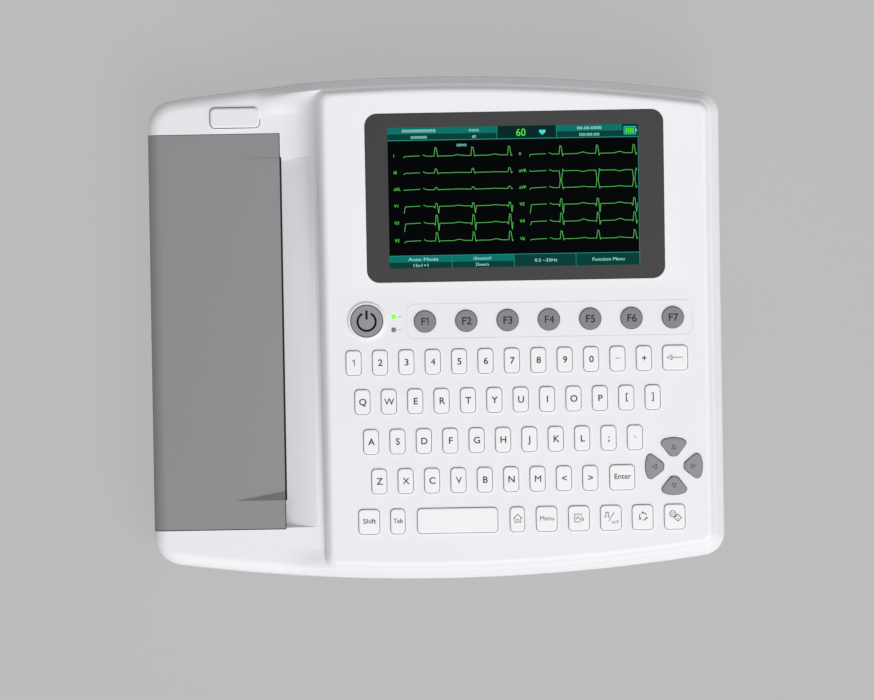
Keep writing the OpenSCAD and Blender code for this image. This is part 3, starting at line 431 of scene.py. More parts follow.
def material(name, color, rough=0.5, metal=0.0, grain=2200.0, bump=0.25, depth=0.02, vary=0.04,
             spec=0.5, brushed=(1, 1, 1), emit=None, coat=0.0, cells=False):
    """Principled surface whose colour and roughness drift, with a fine bump.

    grain is the bump's noise scale, depth its height in mm, brushed its stretch per axis;
    vary is the colour drift, emit is (colour, strength), and cells makes the bump cellular."""
    surface = bpy.data.materials.new(name)
    surface.use_nodes = True
    nodes, links = surface.node_tree.nodes, surface.node_tree.links

    def add(kind, **values):
        node = nodes.new("ShaderNode" + kind)
        for key, value in values.items():
            node.inputs[key.replace("_", " ")].default_value = value
        return node

    shader = nodes["Principled BSDF"]
    place = add("TexCoord").outputs["Object"]
    stretch = add("Mapping", Scale=brushed)
    links.new(place, stretch.inputs["Vector"])
    drift = add("TexNoise", Scale=22.0, Detail=4.0)
    links.new(place, drift.inputs["Vector"])
    if cells:
        fine = add("TexVoronoi", Scale=grain)
    else:
        fine = add("TexNoise", Scale=grain, Detail=3.0)
    links.new(stretch.outputs["Vector"], fine.inputs["Vector"])

    shade = add("MapRange", To_Min=1.0 - vary, To_Max=1.0 + vary * 0.6)
    links.new(drift.outputs["Fac"], shade.inputs["Value"])
    tint = add("Mix")
    tint.data_type = "RGBA"
    tint.blend_type = "MULTIPLY"
    tint.inputs[0].default_value = 1.0  # factor
    tint.inputs[6].default_value = color  # colour A; the drift goes to colour B, input 7
    grey = add("CombineColor")
    for i in range(3):
        links.new(shade.outputs["Result"], grey.inputs[i])
    links.new(grey.outputs["Color"], tint.inputs[7])
    links.new(tint.outputs[2], shader.inputs["Base Color"])

    gloss = add("MapRange", To_Min=max(0.02, rough - 0.06), To_Max=min(1.0, rough + 0.06))
    links.new(drift.outputs["Fac"], gloss.inputs["Value"])
    links.new(gloss.outputs["Result"], shader.inputs["Roughness"])
    relief = add("Bump", Strength=bump, Distance=depth * MM)
    links.new(fine.outputs["Distance" if cells else "Fac"], relief.inputs["Height"])
    links.new(relief.outputs["Normal"], shader.inputs["Normal"])
    shader.inputs["Metallic"].default_value = metal
    shader.inputs["Specular IOR Level"].default_value = spec
    if coat:
        shader.inputs["Coat Weight"].default_value = coat
        shader.inputs["Coat Roughness"].default_value = 0.08
    if emit:
        shader.inputs["Emission Color"].default_value = emit[0]
        shader.inputs["Emission Strength"].default_value = emit[1]
    surface.diffuse_color = color
    return surface


# finishes that several materials share
CASE = dict(grain=2600, bump=0.18, depth=0.012, vary=0.012, spec=0.35)
GREY_CAP = dict(rough=0.5, grain=3200, bump=0.15, depth=0.01, vary=0.02, spec=0.3)
PRINT = dict(rough=0.6, grain=4000, bump=0.1, depth=0.004, vary=0.05, spec=0.2)
MOULDED = dict(bump=0.25, depth=0.015)
BOARD = dict(grain=420, bump=0.35, depth=0.03, vary=0.2, cells=True)
LENS = dict(rough=0.3, grain=1800, bump=0.05, depth=0.004, vary=0.03)

LOOKS = {
    "shell_white": dict(CASE, color=srgb(243, 244, 247), rough=0.46),
    # painted shade: a darker white for the hollow by the slit, standing in for the shade on its
    # slope
    "shell_scoop": dict(CASE, color=srgb(232, 233, 236), rough=0.5),
    "shell_lower": dict(color=srgb(232, 232, 236), rough=0.5, grain=2600, bump=0.2, depth=0.015,
                        vary=0.015, spec=0.35),
    "door_grey": dict(MOULDED, color=srgb(146, 146, 148), rough=0.55, grain=2400, vary=0.02,
                      spec=0.3),
    "key_white": dict(color=srgb(249, 250, 252), rough=0.42, grain=3200, bump=0.12, depth=0.008,
                      vary=0.01, spec=0.35),
    "key_grey": dict(GREY_CAP, color=srgb(139, 138, 143)),
    "arrow_grey": dict(GREY_CAP, color=srgb(149, 150, 154)),
    "power_grey": dict(GREY_CAP, color=srgb(151, 151, 156)),
    "legend_ink": dict(PRINT, color=srgb(58, 58, 64)),
    "legend_dark": dict(PRINT, color=srgb(45, 45, 48)),
    "legend_pale": dict(PRINT, color=srgb(150, 150, 156)),
    "power_ink": dict(PRINT, color=srgb(12, 12, 14), spec=0.15),
    "window_bezel": dict(color=srgb(58, 58, 59), rough=0.35, grain=3000, bump=0.05, depth=0.004,
                         vary=0.03, spec=0.2),
    "steel": dict(color=(0.55, 0.56, 0.58, 1), rough=0.3, metal=1.0, grain=900, bump=0.2,
                  depth=0.01, vary=0.06, brushed=(1, 12, 12)),
    "aluminium": dict(color=(0.72, 0.73, 0.75, 1), rough=0.36, metal=1.0, grain=900, bump=0.25,
                      depth=0.01, vary=0.05, brushed=(12, 1, 12)),
    "brass": dict(color=(0.72, 0.52, 0.2, 1), rough=0.32, metal=1.0, grain=1500, bump=0.15,
                  depth=0.008, vary=0.08),
    "black_plastic": dict(MOULDED, color=srgb(34, 34, 37), rough=0.5, vary=0.08, spec=0.35),
    "bin_grey": dict(MOULDED, color=srgb(92, 94, 98), rough=0.55, vary=0.05, spec=0.3),
    "rubber_black": dict(color=srgb(38, 38, 40), rough=0.85, grain=1800, bump=0.4, depth=0.02,
                         vary=0.12, spec=0.2),
    "dome_rubber": dict(color=srgb(196, 198, 202), rough=0.6, grain=1800, bump=0.2, depth=0.015,
                        vary=0.04, spec=0.3),
    "gear_white": dict(color=srgb(232, 231, 222), rough=0.4, bump=0.15, depth=0.01, vary=0.03,
                       spec=0.4),
    "paper": dict(color=srgb(244, 244, 241), rough=0.8, grain=1500, bump=0.3, depth=0.015,
                  vary=0.02, spec=0.15, brushed=(1, 0.04, 1)),
    "card": dict(color=srgb(168, 142, 108), rough=0.85, grain=1200, bump=0.4, depth=0.02,
                 vary=0.12, spec=0.15),
    "ceramic": dict(color=srgb(34, 32, 30), rough=0.25, bump=0.08, depth=0.006, vary=0.03,
                    coat=0.4),
    "pcb_green": dict(BOARD, color=srgb(30, 92, 62), rough=0.35, coat=0.3),
    "pcb_blue": dict(BOARD, color=srgb(30, 66, 120), rough=0.35, coat=0.3),
    "pcb_tan": dict(BOARD, color=srgb(156, 124, 80), rough=0.45, coat=0.2),
    "battery_blue": dict(color=srgb(48, 88, 160), rough=0.35, grain=800, bump=0.2, depth=0.02,
                         vary=0.06),
    "led_green": dict(LENS, color=srgb(120, 235, 60), emit=((0.12, 0.75, 0.03, 1), 0.9)),
    "led_off": dict(LENS, color=srgb(126, 126, 130)),
    "cable_grey": dict(color=srgb(196, 198, 204), rough=0.5, grain=300, bump=0.5, depth=0.05,
                       vary=0.05, brushed=(8, 1, 1)),
    "display": dict(color=srgb(20, 60, 54), rough=0.3, grain=1800, bump=0.1, depth=0.01,
                    vary=0.05),
    "floor_grey": dict(color=(0.0925, 0.0925, 0.0925, 1), rough=0.9, grain=300, bump=0.05,
                       depth=0.01, vary=0.01, spec=0.1),
}
MATS = {name: material(name, **look) for name, look in LOOKS.items()}

# a CAD slot takes the material of its own name, but for the window
SLOT_MATS = {**MATS, "window": MATS["window_bezel"]}
for part in frame["record"]["subparts"]:
    piece = NODES[part["node"]]
    piece.data.materials.clear()
    piece.data.materials.append(SLOT_MATS[part["material_slot"]])

# ---------------------------------------------------------------- upper shell
# (inset, drop below the sloping top), from the outer wall up to the shoulder
SHOULDER = ((0, 14), (0.05, 13.4), (0.2, 12.8), (0.5, 12.1), (0.95, 11.3), (1.7, 10.1),
            (2.5, 8.85), (3.3, 7.6), (4.0, 6.5), (4.5, 5.75), (4.9, 5.2), (SHOULDER_IN, 4.85))
# (inset, drop, left end's distance from PLATEAU_X), from the shoulder in to the flat top
TOP_EDGE = ((5.5, 4.62, 1.05), (5.8, 4.4, 1.15), (6.1, 4.0, 1.35), (6.5, 3.5, 1.6),
            (7.0, 2.7, 2.1), (7.5, 1.9, 2.7), (7.9, 1.3, 3.2), (8.4, 0.8, 3.8), (9.1, 0.36, 4.6),
            (9.9, 0.12, 5.3), (10.8, 0.0, 6.1))
# (radius, z in the key plane) round the section of the power button's ring
POWER_RING = ((9.92, -2), (9.92, 0.75), (10.05, 1.15), (10.4, 1.35), (10.8, 1.3), (11.2, 1.05),
              (11.55, 0.65), (11.85, 0.15), (12.0, -0.4), (12.0, -2))


def ease(t):
    t = max(0.0, min(1.0, t))
    return t * t * (3 - 2 * t)


def shoulder_drop(inset):
    for (in0, drop0), (in1, drop1) in zip(SHOULDER, SHOULDER[1:]):
        if inset <= in1:
            return drop0 + (drop1 - drop0) * (inset - in0) / (in1 - in0)
    return SHOULDER[-1][1]


def ramp(side):
    """The plateau's shoulder running down to the deck, along the back (1) or front (-1)."""
    columns, steps = 48, 34
    run, overlap, reach = 38.0 if side > 0 else 26.0, 8.0, 18.5
    solid = bmesh.new()
    grid = []
    for i in range(columns + 1):
        x = PLATEAU_X + overlap - (run + overlap) * i / columns
        fade_x = ease(1 - (PLATEAU_X - x) / run)
        column = [(x, side * bow(x, 0.02), DECK_Z - 12)]
        for k in range(steps + 1):
            inset = reach * k / steps
            y = side * bow(x, inset)
            deck = DECK_Z
            if inset < EDGE_R:
                deck = (DECK_Z - EDGE_R
                        + math.sqrt(max(0.0, EDGE_R * EDGE_R - max(0.0, EDGE_R - inset) ** 2)))
            wall = slope_z(x, y, shoulder_drop(inset)) - 0.1
            fade_in = 1 - ease((inset - SHOULDER_IN) / 12.5)
            z = deck + max(0.0, wall - deck) * fade_x * fade_in
            column.append((x, y, z - 0.03))
        grid.append(add_row(solid, column))
    for one, other in zip(grid, grid[1:]):
        for k in range(len(one) - 1):
            solid.faces.new((one[k], one[k + 1], other[k + 1], other[k]))
    outward(solid)
    if sum(face.normal.z * face.calc_area() for face in solid.faces) < 0:
        bmesh.ops.reverse_faces(solid, faces=solid.faces)
    return solid


def plateau():
    """The raised keyboard and display body, hollow and with its openings."""
    stations = [(inset, drop, PLATEAU_X + min(1.0, inset * 0.3)) for inset, drop in SHOULDER]
    stations += [(inset, drop, PLATEAU_X + shift) for inset, drop, shift in TOP_EDGE]
    body = loft([flat_row(0, SEAM_Z, PLATEAU_X)] + slope_rows(stations), creased=True)
    inner_x = PLATEAU_X + 2.4
    room = loft([flat_row(WALL, SEAM_Z - 1, inner_x)]
                + slope_rows([(WALL, 15.5, inner_x), (5.0, 9.6, PLATEAU_X + 3),
                              (9.0, 6.4, PLATEAU_X + 4.2), (13.0, 2.5, PLATEAU_X + 8)]),
                creased=True)
    openings = bmesh.new()
    for outline in key_openings(KEY_GAP):
        merge(openings, prism(outline, -7, 6, KEY_PLANE))
    recess = prism(rounded(181.0, 103.5, 7.7, 10, DISPLAY_X, DISPLAY_V - 0.4), -1.72, 9,
                   DISPLAY_PLANE)
    hole = prism(rounded(156, 88, 1, 3, 48.9, DISPLAY_V), -9, 3, DISPLAY_PLANE)
    # a fine groove round the row of F keys
    groove = boolean(prism(rounded(174.0, 21.5, 5.1, 8, 68.8, 4.3), -0.45, 3, KEY_PLANE),
                     [prism(rounded(173.0, 20.5, 4.6, 8, 68.8, 4.3), -2, 5, KEY_PLANE)])
    vents = bmesh.new()
    for i in range(10):
        merge(vents, block((HALF_W - 6, -95 + i * 7, SEAM_Z + 6),
                           (HALF_W + 5, -92 + i * 7, SEAM_Z + 14)))
    return boolean(body, [room, openings, recess, hole, groove, vents])


def power_ring():
    ring = bmesh.new()
    rings = [[ring.verts.new(KEY_PLANE @ Vector((x * MM, y * MM, z * MM)))
              for x, y in circle(radius, *POWER, 96)] for radius, z in POWER_RING]
    for k, current in enumerate(rings):
        skin(ring, current, rings[(k + 1) % len(rings)])
    outward(ring)
    return ring


def edge_rows(inset, steps):
    """Rows up the rounded deck edge, at an inset from the outer surface."""
    radius = EDGE_R - inset
    angles = [math.radians(i * 90 / steps) for i in range(steps + 1)]
    return [flat_row(inset + radius * (1 - math.cos(a)),
                     DECK_Z - inset - radius * (1 - math.sin(a))) for a in angles]


def printer_deck():
    """The low left side round the printer door."""
    deck = loft([flat_row(0, SEAM_Z)] + edge_rows(0, 10))
    room = loft([flat_row(WALL, SEAM_Z - 1)] + edge_rows(WALL, 4))
    deck = boolean(deck, [block((PLATEAU_X + 5, -300, -20), (400, 300, 200)), room])
    hollow_floor = run_y([(DOOR_X, DECK_Z - SCOOP - WALL), (PLATEAU_X + 1, DECK_Z - WALL),
                          (PLATEAU_X + 1, DECK_Z - 0.4), (DOOR_X, DECK_Z - 0.4)],
                         DOOR_Y0 + 0.6 - WALL, SLIT_Y1 + WALL)
    deck = boolean(deck, [hollow_floor], "UNION")
    door_hole = block((-400, DOOR_Y0 - 0.5, SEAM_Z - 5),
                      (DOOR_X + 0.45, DOOR_Y1 + 0.35, DECK_Z + 20))
    slit = block((DOOR_X - 1, SLIT_Y0, SEAM_Z - 5), (DOOR_X + SLIT_W, SLIT_Y1, DECK_Z + 20))
    slit_x = DOOR_X + SLIT_W
    front, back = DOOR_Y0 + 2.4, SLIT_Y1 - 2.2
    hollow = [(DOOR_X - 2, DECK_Z - SCOOP - 0.4, front, back),
              (slit_x, DECK_Z - SCOOP, front, back)]
    for i in range(1, 11):
        t = i / 10
        hollow.append((slit_x + RUNOUT * t,
                       DECK_Z - SCOOP * (1 - t) ** 1.5 - 0.02 * (t > 0.99),
                       front - 1.8 * t, SLIT_Y1 - 2.2 * (1 - t)))
    hollow += [(slit_x + RUNOUT, DECK_Z + 0.5, DOOR_Y0 + 0.5, SLIT_Y1 + 0.1),
               (DOOR_X - 2, DECK_Z + 0.5, DOOR_Y0 + 0.2, SLIT_Y1 + 0.3)]
    button_hole = prism(rounded(30.9, 13.0, 3.3, 6, *BUTTON), DECK_Z - 8, DECK_Z + 9)
    return boolean(deck, [door_hole, slit, slanted(hollow), button_hole])


def shell_top():
    whole = merge(plateau(), printer_deck(), power_ring(), merge(bmesh.new(), ramp(1), ramp(-1)))
    shell = finish(new_object("shell_top", whole, sharp_deg=28), [MATS["shell_white"]],
                   "base", "top_case")
    # the hollow's upward faces by the slit take the darker white, a painted shade
    shell.data.materials.append(MATS["shell_scoop"])
    for face in shell.data.polygons:
        x, y, z = face.center / MM
        if (DOOR_X + 0.5 < x < PLATEAU_X - 4.3 and DOOR_Y0 < y < SLIT_Y1 + 0.3
                and DECK_Z - SCOOP - 0.6 < z < DECK_Z - 0.01
                and face.normal.z > 0.75 and face.normal.x < -0.01):
            face.material_index = 1


shell_top()


# ---------------------------------------------------------------- printer door
def door_section(inset, bottom, right_x):
    radius = EDGE_R - inset
    angles = [math.pi - math.pi / 2 * i / 14 for i in range(15)]
    edge = [(-HALF_W + EDGE_R + radius * math.cos(a), DECK_Z - EDGE_R + radius * math.sin(a))
            for a in angles]
    return ([(-HALF_W + inset, bottom)] + edge
            + [(right_x, DECK_Z - inset), (right_x, bottom)])


def printer_door():
    outer = run_y(door_section(0, HINGE_Z + 2.8, DOOR_X), DOOR_Y0, DOOR_Y1)
    inner = run_y(door_section(WALL, HINGE_Z - 2, DOOR_X + 5), DOOR_Y0 - 1, DOOR_Y1 + 1)
    body = boolean(outer, [inner])
    shaft_x, _, shaft_z = centre("platen_shaft")
    inside = DECK_Z - 1  # additions reach up into the door's skin
    additions = [
        # the lip under the hollow at the slit
        run_y([(-126, DECK_Z - WALL - 0.2), (DOOR_X, DECK_Z - SCOOP - WALL), (DOOR_X, inside),
               (-126, inside)], SLIT_Y0 - WALL, SLIT_Y1 + WALL),
        # end walls, with a tab below the back one
        block((-166, DOOR_Y0, 42), (DOOR_X, DOOR_Y0 + 2, inside)),
        block((-166, 117.2, 42), (DOOR_X, 119.2, inside)),
        block((-134, 117.2, 37), (-106, 119.2, 44)),
        # hangers for the platen shaft
        block((shaft_x - 6, -110, 30.5), (shaft_x + 6.4, -107, inside)),
        block((shaft_x - 6, 109.6, 30.5), (shaft_x + 6.4, 112.6, inside))]
    additions += [block((-168, y - 0.8, 47.2), (-128, y + 0.8, inside)) for y in (-60, 0, 60)]
    for addition in additions:
        body = boolean(body, [addition], "UNION")
    for y0, y1 in ((-118, -98.4), (-61.6, 61.6), (98.4, 118)):  # hinge knuckles
        merge(body, prism(circle(2.4, steps=40), y0, y1, along_y(HINGE_X, HINGE_Z)),
              block((-HALF_W + 0.1, y0, HINGE_Z), (HINGE_X, y1, HINGE_Z + 4)))
    hollow = slanted([(-124, DECK_Z, SLIT_Y0, SLIT_Y1),
                      (DOOR_X + 0.5, DECK_Z - SCOOP - 0.08, SLIT_Y0 + 5.6, SLIT_Y1 - 1.1),
                      (DOOR_X + 0.5, DECK_Z, SLIT_Y0, SLIT_Y1),
                      (DOOR_X + 0.5, DECK_Z + 1, SLIT_Y0, SLIT_Y1),
                      (-124, DECK_Z + 1, SLIT_Y0, SLIT_Y1)])
    shaft_hole = prism(circle(4.52, steps=48), -115, 115, along_y(shaft_x, shaft_z))
    tab_slot = block((-126.6, 116, 40.2), (-111.6, 120, 43.4))
    body = boolean(body, [hollow, shaft_hole, tab_slot])
    door = new_object("door_shell", body, sharp_deg=28)
    bevel(door, 0.45, segments=3)
    finish(door, [MATS["door_grey"]], "door", "printer_cover")


printer_door()


# ---------------------------------------------------------------- caps
def cap(solid, outline_at, up, fillet):
    """Adds a key cap. outline_at(inset) is its plan; fillet rounds its top edge."""
    rows = [[(x, y, -2.9) for x, y in outline_at(0)]]
    for i in range(5):
        a = math.pi / 2 * i / 4
        z = up - fillet * (1 - math.sin(a))
        rows.append([(x, y, z) for x, y in outline_at(fillet * (1 - math.cos(a)))])
    piece = loft(rows)
    piece.transform(KEY_PLANE)
    merge(solid, piece)


def stem(x, y, top=-3.7):
    return prism(circle(2.6, x, y, 24), -4.4, top, KEY_PLANE)


def short_name(node):
    return node.replace("_keys", "").replace("_key", "")


def row_caps(node, keys):
    solid = bmesh.new()
    for x, y, width, depth, _ in keys:
        def outline(inset):
            return rounded(width - 0.14 - 2 * inset, depth - 0.14 - 2 * inset,
                           max(0.6, 2.4 - inset), 6, x, y)
        cap(solid, outline, KEY_UP, fillet=0.7)
        flange = prism(rounded(width + 2.4, depth + 2.4, 2.6, 3, x, y), -3.8, -2.8, KEY_PLANE)
        merge(solid, flange, stem(x, y))
    finish(new_object(short_name(node) + "_caps", solid), [MATS["key_white"]],
           BODY_OF[node], node)


def round_cap(node, name, x, y, radius, up, surface):
    solid = bmesh.new()
    cap(solid, lambda inset: circle(radius - inset, x, y, 64), up, fillet=0.6)
    merge(solid, prism(circle(radius + 1.2, x, y, 48), -3.8, -2.8, KEY_PLANE), stem(x, y))
    finish(new_object(name, solid), [MATS[surface]], BODY_OF[node], node)


def arrow_cap(quarter, name):
    solid = bmesh.new()
    cap(solid, lambda inset: arrow_outline(-inset, quarter), PAD_UP, fillet=0.6)
    merge(solid, stem(*on_pad([(12.5, 0)], quarter)[0], top=-2.8))
    node = "arrow_%s_key" % name
    finish(new_object("arrow_%s_cap" % name, solid), [MATS["arrow_grey"]],
           BODY_OF[node], node)


def door_button():
    rows = [[(x, y, DECK_Z - 4.2) for x, y in rounded(30.0, 12.1, 2.8, 6, *BUTTON)]]
    for i in range(7):
        a = math.pi / 2 * i / 6
        inset = 1.3 * (1 - math.cos(a))
        outline = rounded(30.0 - 2 * inset, 12.1 - 2 * inset, 2.8 - inset * 0.5, 6, *BUTTON)
        rows.append([(x, y, DECK_Z + 0.9 + 1.5 * math.sin(a)) for x, y in outline])
    flange = prism(rounded(33.6, 10.5, 1.8, 4, BUTTON[0], BUTTON[1] + 1.25),
                   DECK_Z - 5, DECK_Z - 2.8)
    leg = block((-121.2, 129.2, 35.9), (-117.2, 131.2, DECK_Z - 4.5))
    solid = merge(bmesh.new(), loft(rows), flange, leg)
    finish(new_object("door_button_cap", solid), [MATS["shell_white"]],
           "door_button", "door_release_button")


def latch_coil():
    """The latch spring, as a coil of wire filling the CAD spring's box."""
    low, high = box_mm("latch_spring")
    x, y = (low[0] + high[0]) / 2, (low[1] + high[1]) / 2
    wire, turns, per_turn, sides = 0.35, 5.0, 28, 10
    radius = (high[0] - low[0]) / 2 - wire
    solid = bmesh.new()
    rings = []
    for i in range(int(turns * per_turn) + 1):
        turn = i / per_turn
        # half a turn lies flat at each end
        rise = max(0.0, min(1.0, (turn - 0.5) / (turns - 1.0)))
        angle = 2 * math.pi * turn
        point = Vector((x + radius * math.cos(angle), y + radius * math.sin(angle),
                        low[2] + wire + (high[2] - low[2] - 2 * wire) * rise))
        away = Vector((math.cos(angle), math.sin(angle), 0))
        rings.append([solid.verts.new(
            (point + away * wire * math.cos(k * math.pi / 5)
             + Vector((0, 0, 1)) * wire * math.sin(k * math.pi / 5)) * MM)
            for k in range(sides)])
    for one, other in zip(rings, rings[1:]):
        skin(solid, one, other)
    solid.faces.new(rings[0][::-1])
    solid.faces.new(rings[-1])
    outward(solid)
    coil = finish(new_object("latch_coil", solid), [MATS["steel"]], "base",
                  "latch_spring", weighted=False)
    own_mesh(coil)


def window_pane():
    def outline(inset):
        return rounded(180.6 - 2 * inset, 103.1 - 2 * inset, 7.5 - inset, 12,
                       DISPLAY_X, DISPLAY_V - 0.4)
    rows = [[(x, y, -1.66) for x, y in outline(0)]]
    for i in range(4):
        a = math.pi / 2 * i / 3
        z = -0.06 - 0.25 * (1 - math.sin(a))
        rows.append([(x, y, z) for x, y in outline(0.25 * (1 - math.cos(a)))])
    pane = loft(rows)
    pane.transform(DISPLAY_PLANE)
    finish(new_object("window_pane", pane), [MATS["window_bezel"]], "base",
           "screen_window")


for node, keys in ROWS.items():
    row_caps(node, keys)
round_cap("power_button", "power_cap", *POWER, POWER_R, POWER_UP, "power_grey")
for i, (x, y) in enumerate(F_KEYS):
    round_cap("f%d_key" % (i + 1), "f%d_cap" % (i + 1), x, y, F_R, PAD_UP, "key_grey")
for quarter, name in enumerate(ARROWS):
    arrow_cap(quarter, name)
door_button()
latch_coil()
window_pane()


# ---------------------------------------------------------------- flat artwork
class Decal:
    """Polygons, lines and letters on a plane, gathered into one mesh.

    inks maps an ink's name to (material, height above z)."""

    def __init__(self, place, z, inks):
        self.place, self.z, self.inks = place, z, inks
        self.solid, self.mats = bmesh.new(), []

    def add_verts(self, points, ink):
        z = self.z + self.inks[ink][1]
        return add_row(self.solid, [(x, y, z) for x, y in points])

    def add_face(self, verts, ink):
        surface = self.inks[ink][0]
        if surface not in self.mats:
            self.mats.append(surface)
        face = self.solid.faces.new(verts)
        face.material_index = self.mats.index(surface)
        face.normal_update()
        if face.normal.z < 0:
            face.normal_flip()

    def poly(self, points, ink="ink"):
        self.add_face(self.add_verts(points, ink), ink)

    def rect(self, x0, y0, x1, y1, ink="ink"):
        self.poly([(x0, y0), (x1, y0), (x1, y1), (x0, y1)], ink)

    def line(self, points, width, ink="ink", closed=False):
        count = len(points)
        for i in range(count if closed else count - 1):
            start, end = Vector(points[i]), Vector(points[(i + 1) % count])
            along = end - start
            if along.length < 1e-9:
                continue
            along.normalize()
            side = Vector((-along.y, along.x)) * width / 2
            extra = along * width * 0.35  # fills the joints
            self.poly([start - extra - side, end + extra - side,
                       end + extra + side, start - extra + side], ink)

    def text(self, string, x, y, height, ink="ink", align="CENTER", widen=1.0, bold=0.0):
        curve = bpy.data.curves.new("t", "FONT")
        curve.body = string
        curve.align_x = align
        curve.resolution_u = 3
        curve.offset = bold
        obj = link("t", curve)
        mesh = evaluated_mesh(obj)
        scale = height / 0.70  # a capital is 0.70 of the font size
        verts = self.add_verts([(x + v.co.x * scale * widen, y + (v.co.y - 0.35) * scale)
                                for v in mesh.vertices], ink)
        for face in mesh.polygons:
            try:
                self.add_face([verts[i] for i in face.vertices], ink)
            except ValueError:
                pass  # the fill of a letter may repeat a face
        bpy.data.objects.remove(obj)
        bpy.data.curves.remove(curve)
        bpy.data.meshes.remove(mesh)

    def one(self, x, y, height):
        """A figure one with its flag."""
        self.line([(x - height * .26, y + height * .26), (x, y + height * .46),
                   (x, y - height * .44)], height * .13)

    def done(self, name, body, slot=None):
        self.solid.transform(self.place)
        obj = new_object(name, self.solid, smooth=False)
        for surface in self.mats:
            obj.data.materials.append(surface)
        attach(obj, body)


# ---------------------------------------------------------------- display picture
def glow(name, rgb):
    red, green, blue, _ = srgb(*rgb)
    return material(name, (red * 0.25, green * 0.25, blue * 0.25, 1), rough=0.5, grain=1800,
                    bump=0.03, depth=0.003, vary=0.02, spec=0.02,
                    emit=((red, green, blue, 1), 0.8))


# colour and height of each ink, so that later layers lie above earlier ones
PICTURE_INKS = {
    "black": ((0, 1, 2), 0.0), "teal": ((8, 112, 103), .02), "dark_teal": ((4, 62, 56), .02),
    "deep_teal": ((3, 40, 38), .02), "line": ((30, 150, 138), .04),
    "trace": ((92, 200, 100), .05), "label": ((90, 220, 90), .05), "text": ((165, 240, 228), .05),
    "green": ((96, 240, 70), .05), "heart": ((60, 226, 214), .05),
    "battery": ((70, 220, 60), .06)}

# Places on the picture are (u, v), fractions of the lit area from its back left corner
LIT_W, LIT_D = 151.8, 86.0
LIT_LEFT, LIT_BACK = 48.5 - LIT_W / 2, DISPLAY_V - 0.55 + LIT_D / 2

# (u0, v0, u1, v1, ink)
HEADER = ((0, 0, 1, 1, "black"), (0, 0, .437, .047, "teal"), (0, .047, .437, .09, "dark_teal"),
          (.437, 0, .674, .09, "deep_teal"), (.674, 0, .935, .045, "teal"),
          (.674, .045, .935, .09, "dark_teal"), (.935, 0, 1, .09, "dark_teal"),
          (0, .088, 1, .093, "line"), (.436, 0, .438, .09, "line"), (.673, 0, .675, .09, "line"))
# (u0, u1, whether in two tones)
FOOTER = ((0, .25, True), (.25, .498, True), (.498, .745, False), (.745, 1, False))

# (string, u, v, height, ink, widening)
PATIENT_TEXT = (("00000000000", .125, .024, 1.9, "text", 1.38),
                ("000000", .125, .07, 1.7, "text", 1.36), ("Adult", .345, .024, 1.7, "text", 1.15),
                ("60", .345, .07, 1.7, "text", 1.0), ("60", .532, .046, 4.5, "green", 0.95))
CLOCK_TEXT = (("00-00-0000", .805, .023, 1.8, "text", 1.25),
              ("00:00:00", .805, .069, 1.8, "text", 1.4))
FOOTER_TEXT = (("DEMO", .295, .13, 1.5, "text", 1.0), ("Auto Mode", .135, .936, 1.9, "text", 1.45),
               ("12x1+1", .125, .979, 1.8, "text", 1.3), ("10mm/mV", .37, .936, 1.9, "text", 1.0),
               ("25mm/s", .37, .979, 1.8, "text", 1.0),
               ("0.5 ~35Hz", .625, .956, 1.9, "text", 1.2),
               ("Function Menu", .875, .956, 2.0, "text", 1.15))

# label u, trace start u, trace end u, beat us, and the leads as
# (name, base line v, R rise, S dip, T height, drop of the calibration foot)
TRACES = (
    (.022, .062, .497, (.192, .339, .485), (
        ("I", .205, .062, .005, .008, .008), ("III", .325, .030, .008, .002, .008),
        ("aVL", .443, .016, .003, .003, .0), ("V1", .562, .022, .050, .006, .045),
        ("V3", .683, .060, .052, .008, .055), ("V5", .808, .062, .008, .010, .010))),
    (.523, .565, .994, (.690, .836, .982), (
        ("II", .205, .060, .014, .012, .016), ("aVR", .325, -.068, -.012, -.008, -.006),
        ("aVF", .443, .055, .010, .006, .012), ("V2", .562, .040, .062, .010, .060),
        ("V4", .683, .060, .026, .014, .022), ("V6", .808, .058, .008, .008, .006))))
TRACE_W = .29


def lit(u, v):
    return LIT_LEFT + u * LIT_W, LIT_BACK - v * LIT_D


def panel(art, u0, v0, u1, v1, ink):
    (left, back), (right, front) = lit(u0, v0), lit(u1, v1)
    art.rect(left, front, right, back, ink)


def write(art, texts):
    for string, u, v, height, ink, widen in texts:
        art.text(string, *lit(u, v), height, ink, widen=widen)


def panels(art):
    for row in HEADER:
        panel(art, *row)
    for u0, u1, two_tone in FOOTER:
        if two_tone:
            panel(art, u0, .912, u1, .958, "teal")
            panel(art, u0, .958, u1, 1, "dark_teal")
        else:
            panel(art, u0, .912, u1, 1, "dark_teal")
        panel(art, u1 - .001, .912, u1 + .001, 1, "line")
    panel(art, 0, .909, 1, .913, "line")
    panel(art, .9985, .09, 1, 1, "line")


def heart(art):
    x, y = lit(.618, .046)
    size = 0.125
    points = []
    for i in range(40):
        t = 2 * math.pi * i / 40
        wave = 13 * math.cos(t) - 5 * math.cos(2 * t) - 2 * math.cos(3 * t) - math.cos(4 * t)
        points.append((x + size * 16 * math.sin(t) ** 3, y + size * wave * 0.95))
    art.poly(points, "heart")


def battery(art):
    (left, back), (right, front) = lit(.944, .02), lit(.989, .072)
    art.line([(left, back), (right, back), (right, front), (left, front)], .35, "heart",
             closed=True)
    art.rect(right + .2, front + 1.4, right + .9, back - 1.4, "heart")
    cell = (right - left - 1.2) / 4
    for i in range(4):
        art.rect(left + .7 + i * cell, front + .6, left + .7 + (i + .8) * cell, back - .6,
                 "battery")


